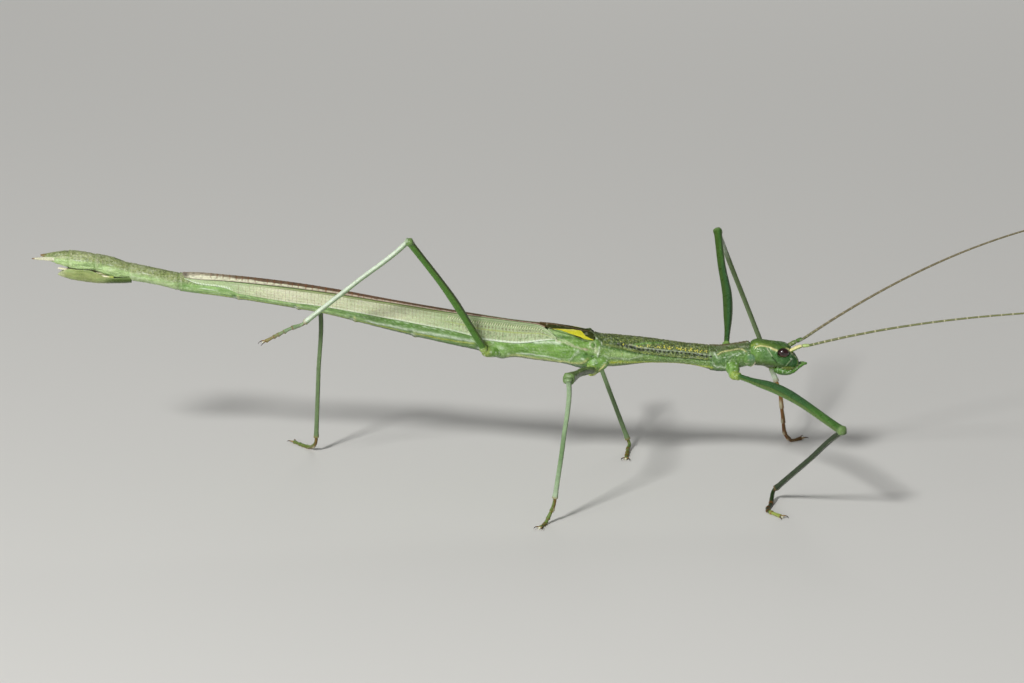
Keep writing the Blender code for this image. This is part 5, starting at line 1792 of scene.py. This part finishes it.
def make_boat():
    """The egg boat: a thin scoop, keeled below and hollow above, with the blades that lie in it."""
    read = smooth(BOAT_LINE)
    x = np.concatenate((np.linspace(-45.22, -44.3, 20), np.linspace(-44.25, -37.9, 90)))
    top, bottom, wide = np.moveaxis(read(x), -1, 0)[..., None]
    wall = np.minimum(0.11, wide * 0.6)
    outer = np.linspace(180, 360, 44)[None, :] * ARC
    inner = outer[:, ::-1]
    keel = 0.04 * np.exp(-(((outer / ARC - 270) / 8) ** 2))
    outer_y, outer_z = wide * np.cos(outer), top + (top - bottom + keel) * np.sin(outer)
    inner_y, inner_z = (wide - wall) * np.cos(inner), top + (top - bottom - wall) * 0.75 * np.sin(inner)
    y, z = np.concatenate((outer_y, inner_y), axis=1), np.concatenate((outer_z, inner_z), axis=1)
    points = np.stack((np.broadcast_to(x[:, None], y.shape), y, z), axis=-1)
    points = points + 0.01 * ripple(points, 0.3, 51)[..., None] * (0, 1, 1)
    tint = laid(
        all_over("tail grey", points.shape[:-1]), 0.7 * ramp(ripple(points * (0.3, 1, 1), 0.4, 52), -0.3, 0.8),
        "tail green",
    )
    tint = layered(
        tint,
        (0.35 * ramp(x, -44.2, -44.9)[:, None], "dusk"),
        (0.4 * ramp(ripple(points * (0.15, 1, 1), 0.14, 53), 0, 0.7), "brow"),
        # painted shade: darker olive toward the front, and dark green low at the front
        (0.75 * ramp(x, -41, -38.6)[:, None], "brow"),
        (0.9 * ramp(x, -41.2, -39.4)[:, None] * ramp(22.0 - points[..., 2], 0.2, 0.5), "under"),
    )
    parts = [closed_skin(points, tint)]
    for flip in (1, -1):
        for track, thick in ((((-39, 0.3, 21.95), (-42.4, 0.3, 22.2), (-45.25, 0.14, 22.58)), 0.14),
                             (((-39.6, 0.72, 21.8), (-40.5, 0.78, 21.92), (-41.5, 0.68, 22.12)), 0.13)):
            path = route(np.array(track) * (1, flip, 1), 60)
            radius = read_first(((0, thick), (0.5, thick * 0.65), (1, thick * 0.3)))
            blade = limb(path, (0, 0, 1), pressed(radius, 0.45, np.sin, (6, 0.2, 0.2)))
            parts.append(tube_part(blade, np.linspace(0, 1, 50), fading("grain", "bone", 0.1, 0.5), 14))
    piece("egg_boat", parts, BODY_SHELL, ["operculum"])

    def keel_point(along, turn):
        rows = read(along)
        t, b, w = np.moveaxis(rows, -1, 0)
        return np.stack((along, w * np.cos(turn * ARC), t + (t - b) * np.sin(turn * ARC)), axis=-1)

    sown(keel_point, 150, (-44.6, -38.2), (190, 350), (0.08, 0.2), 0.008, -0.9, "cream", body_map)


def make_cerci():
    """Two short leaf-shaped feelers at the tail's tip, darker to their points."""
    for number, (side, flip) in enumerate((("left", 1), ("right", -1))):
        drop = 0.0 if flip < 0 else 0.22
        path = route(
            [
                (-45.4, 0.44 * flip, 23.6 - drop / 2), (-46.6, 0.52 * flip, 23.66 - drop),
                (-47.75, 0.46 * flip, 23.66 - drop),
            ],
            80,
        )
        radius = read_first(((0, 0.18), (0.3, 0.2), (0.7, 0.12), (1, 0.04)))
        leaf = limb(path, (0, 0, 1), pressed(radius, 0.55, np.sin, (2.1, 0.1, 0.08)))

        def colour(share, turn):
            ground = all_over("cream", share.shape)
            return layered(ground, (ramp(share, 0.82, 0.93), "net brown"), (0.7 * ramp(share, 0.93, 1), "ink"))

        part = tube_part(leaf, np.linspace(0, 1, 70), colour, 22)
        piece(f"tail_feeler_{side}", [part], BODY_SHELL, [f"cercus_{side}"])
        sown(leaf, 70, (0.1, 0.98), (0, 360), (0.1, 0.24), 0.008, 0.6, "cream", strip_of_map(17 + number))


def make_body_bristles():
    """Short fine bristles over the tail's last segments, longest behind."""
    count = 620
    x, turn = scattered(count, -46.2, -33.2, -60, 88)
    length = RANDOM.uniform(0.08, 0.2, count) * np.interp(x, (-46, -40, -33), (1.3, 1, 0.7))
    bristles(body_point, x, turn, length, 0.008, -0.8, "cream", body_map)


def make_neck_plates():
    """Rounded pale plates at the sides of the neck, between the first segment and the head."""
    parts = []
    along = np.linspace(0, 1, 36)[:, None]
    turn = np.arange(40)[None, :] * 9 * ARC
    for flip in (1, -1):
        grow = np.clip(1 - np.abs(2 * along - 1) ** 1.7, 0.001, 1) ** 0.62
        out = np.array((0.12, 0.9 * flip, -0.32))
        out = out / np.linalg.norm(out)
        long = unit(np.array((0.25, 0.1 * flip, -0.97)) - np.dot((0.45, 0.1 * flip, -0.9), out) * out)
        across = np.cross(out, long)
        centre = np.array((23.8, 0.93 * flip, 13.3))
        points = (
            centre
            + (2 * along - 1)[..., None] * 0.8 * long
            + (grow * np.cos(turn))[..., None] * 0.64 * across
            + (grow * np.sin(turn))[..., None] * 0.2 * out
        )
        ahead = np.cos(turn) * grow * np.sign(across[0])
        rim = ramp(np.hypot(2 * along - 1, np.cos(turn)) * np.ones_like(turn), 0.66, 0.84)
        tint = laid(
            all_over("sage", points.shape[:-1]), 0.6 * ramp(along, 0.7, 0.3) * ramp(ahead, -0.6, 0.1),
            "lobe teal",
        )
        tint = laid(tint, 0.4 * ramp(ahead, 0.2, -0.7), "leaf")
        tint = laid(tint, 0.35 * ramp(ripple(points, 0.2, 48), 0, 0.7), "dusk")
        tint = laid(tint, 0.9 * rim * ramp(along, 0.45, 0.75) * ramp(ahead, -0.35, 0.2), "bone")
        parts.append(closed_skin(points, tint))
    piece("neck_plates", parts, BODY_SHELL, ["prothorax"])


def make_bristles():
    """All the bristles as one piece, each with its patch of the map at its root's place."""
    parts = [bed[0] for bed in bristle_beds]
    for points, _, _ in parts:
        points[:, 2] = np.maximum(points[:, 2], 0)
    piece(
        "bristles", parts, BRISTLE, ["abdomen_10"],
        np.concatenate([bed[1] for bed in bristle_beds]),
    )


def make_studio():
    """Camera of the photo, plain pale floor, a soft main light from the camera's side and two fills."""
    lens = bpy.data.cameras.new("camera")
    lens.sensor_width = 36.0
    lens.lens = lens.sensor_width * 4500 / 1024  # 4500 pixels off, of a frame 1024 wide
    lens.clip_start = 0.01
    camera = bpy.data.objects.new("camera", lens)
    camera.location = (-0.01185, -0.43515, 0.13147)
    camera.rotation_euler = (math.radians(75), 0, 0)
    bpy.context.scene.collection.objects.link(camera)
    bpy.context.scene.camera = camera
    world = bpy.data.worlds.new("room")
    bpy.context.scene.world = world
    world.use_nodes = True
    world.node_tree.nodes["Background"].inputs["Color"].default_value = (0.98, 0.98, 1, 1)
    world.node_tree.nodes["Background"].inputs["Strength"].default_value = 0.15
    bpy.context.scene.view_settings.view_transform = "Standard"
    for name, place, aim, size, watts in (
        ("main", (-0.26, -0.52, 0.42), (-0.01, 0, 0.015), 0.1, 4.2),
        ("fill", (-0.35, -0.42, 0.16), (0, 0, 0.015), 0.25, 0.85),
        ("back", (0.05, 0.55, 0.3), (0, 0, 0.015), 0.3, 0.8),
    ):
        light = bpy.data.lights.new(name, "AREA")
        light.shape = "DISK"
        light.size = size
        light.energy = watts
        lamp = bpy.data.objects.new(name, light)
        lamp.location = place
        lamp.visible_glossy = name == "main"  # one flash throws the glints, the two soft fills none
        way = np.array(aim) - place
        lamp.rotation_euler = (
            math.acos(-way[2] / np.linalg.norm(way)), 0, math.atan2(way[1], way[0]) - math.pi / 2
        )
        bpy.context.scene.collection.objects.link(lamp)
    mesh = bpy.data.meshes.new("floor")
    half = 3.0
    mesh.from_pydata(
        [(-half, -half, 0), (half, -half, 0), (half, half, 0), (-half, half, 0)], [], [(0, 1, 2, 3)],
    )
    floor = bpy.data.objects.new("floor", mesh)
    material = bpy.data.materials.new("matt_pale_card")
    material.use_nodes = True
    shader = material.node_tree.nodes["Principled BSDF"]
    shader.inputs["Base Color"].default_value = (*linear("D9D8D3"), 1)
    shader.inputs["Roughness"].default_value = 0.9
    mesh.materials.append(material)
    bpy.context.scene.collection.objects.link(floor)


make_studio()
make_body()
make_granules()
make_neck_plates()
make_hindwings()
make_tegmina()
make_boat()
make_cerci()
make_body_bristles()
make_head()
make_eyes()
make_mouth()
make_feelers()
for number, (leg, (coxa_points, femur_points, ankle_place, foot_points)) in enumerate(LEGS.items()):
    make_leg(leg, coxa_points, femur_points, ankle_place, foot_points, number)
make_bristles()
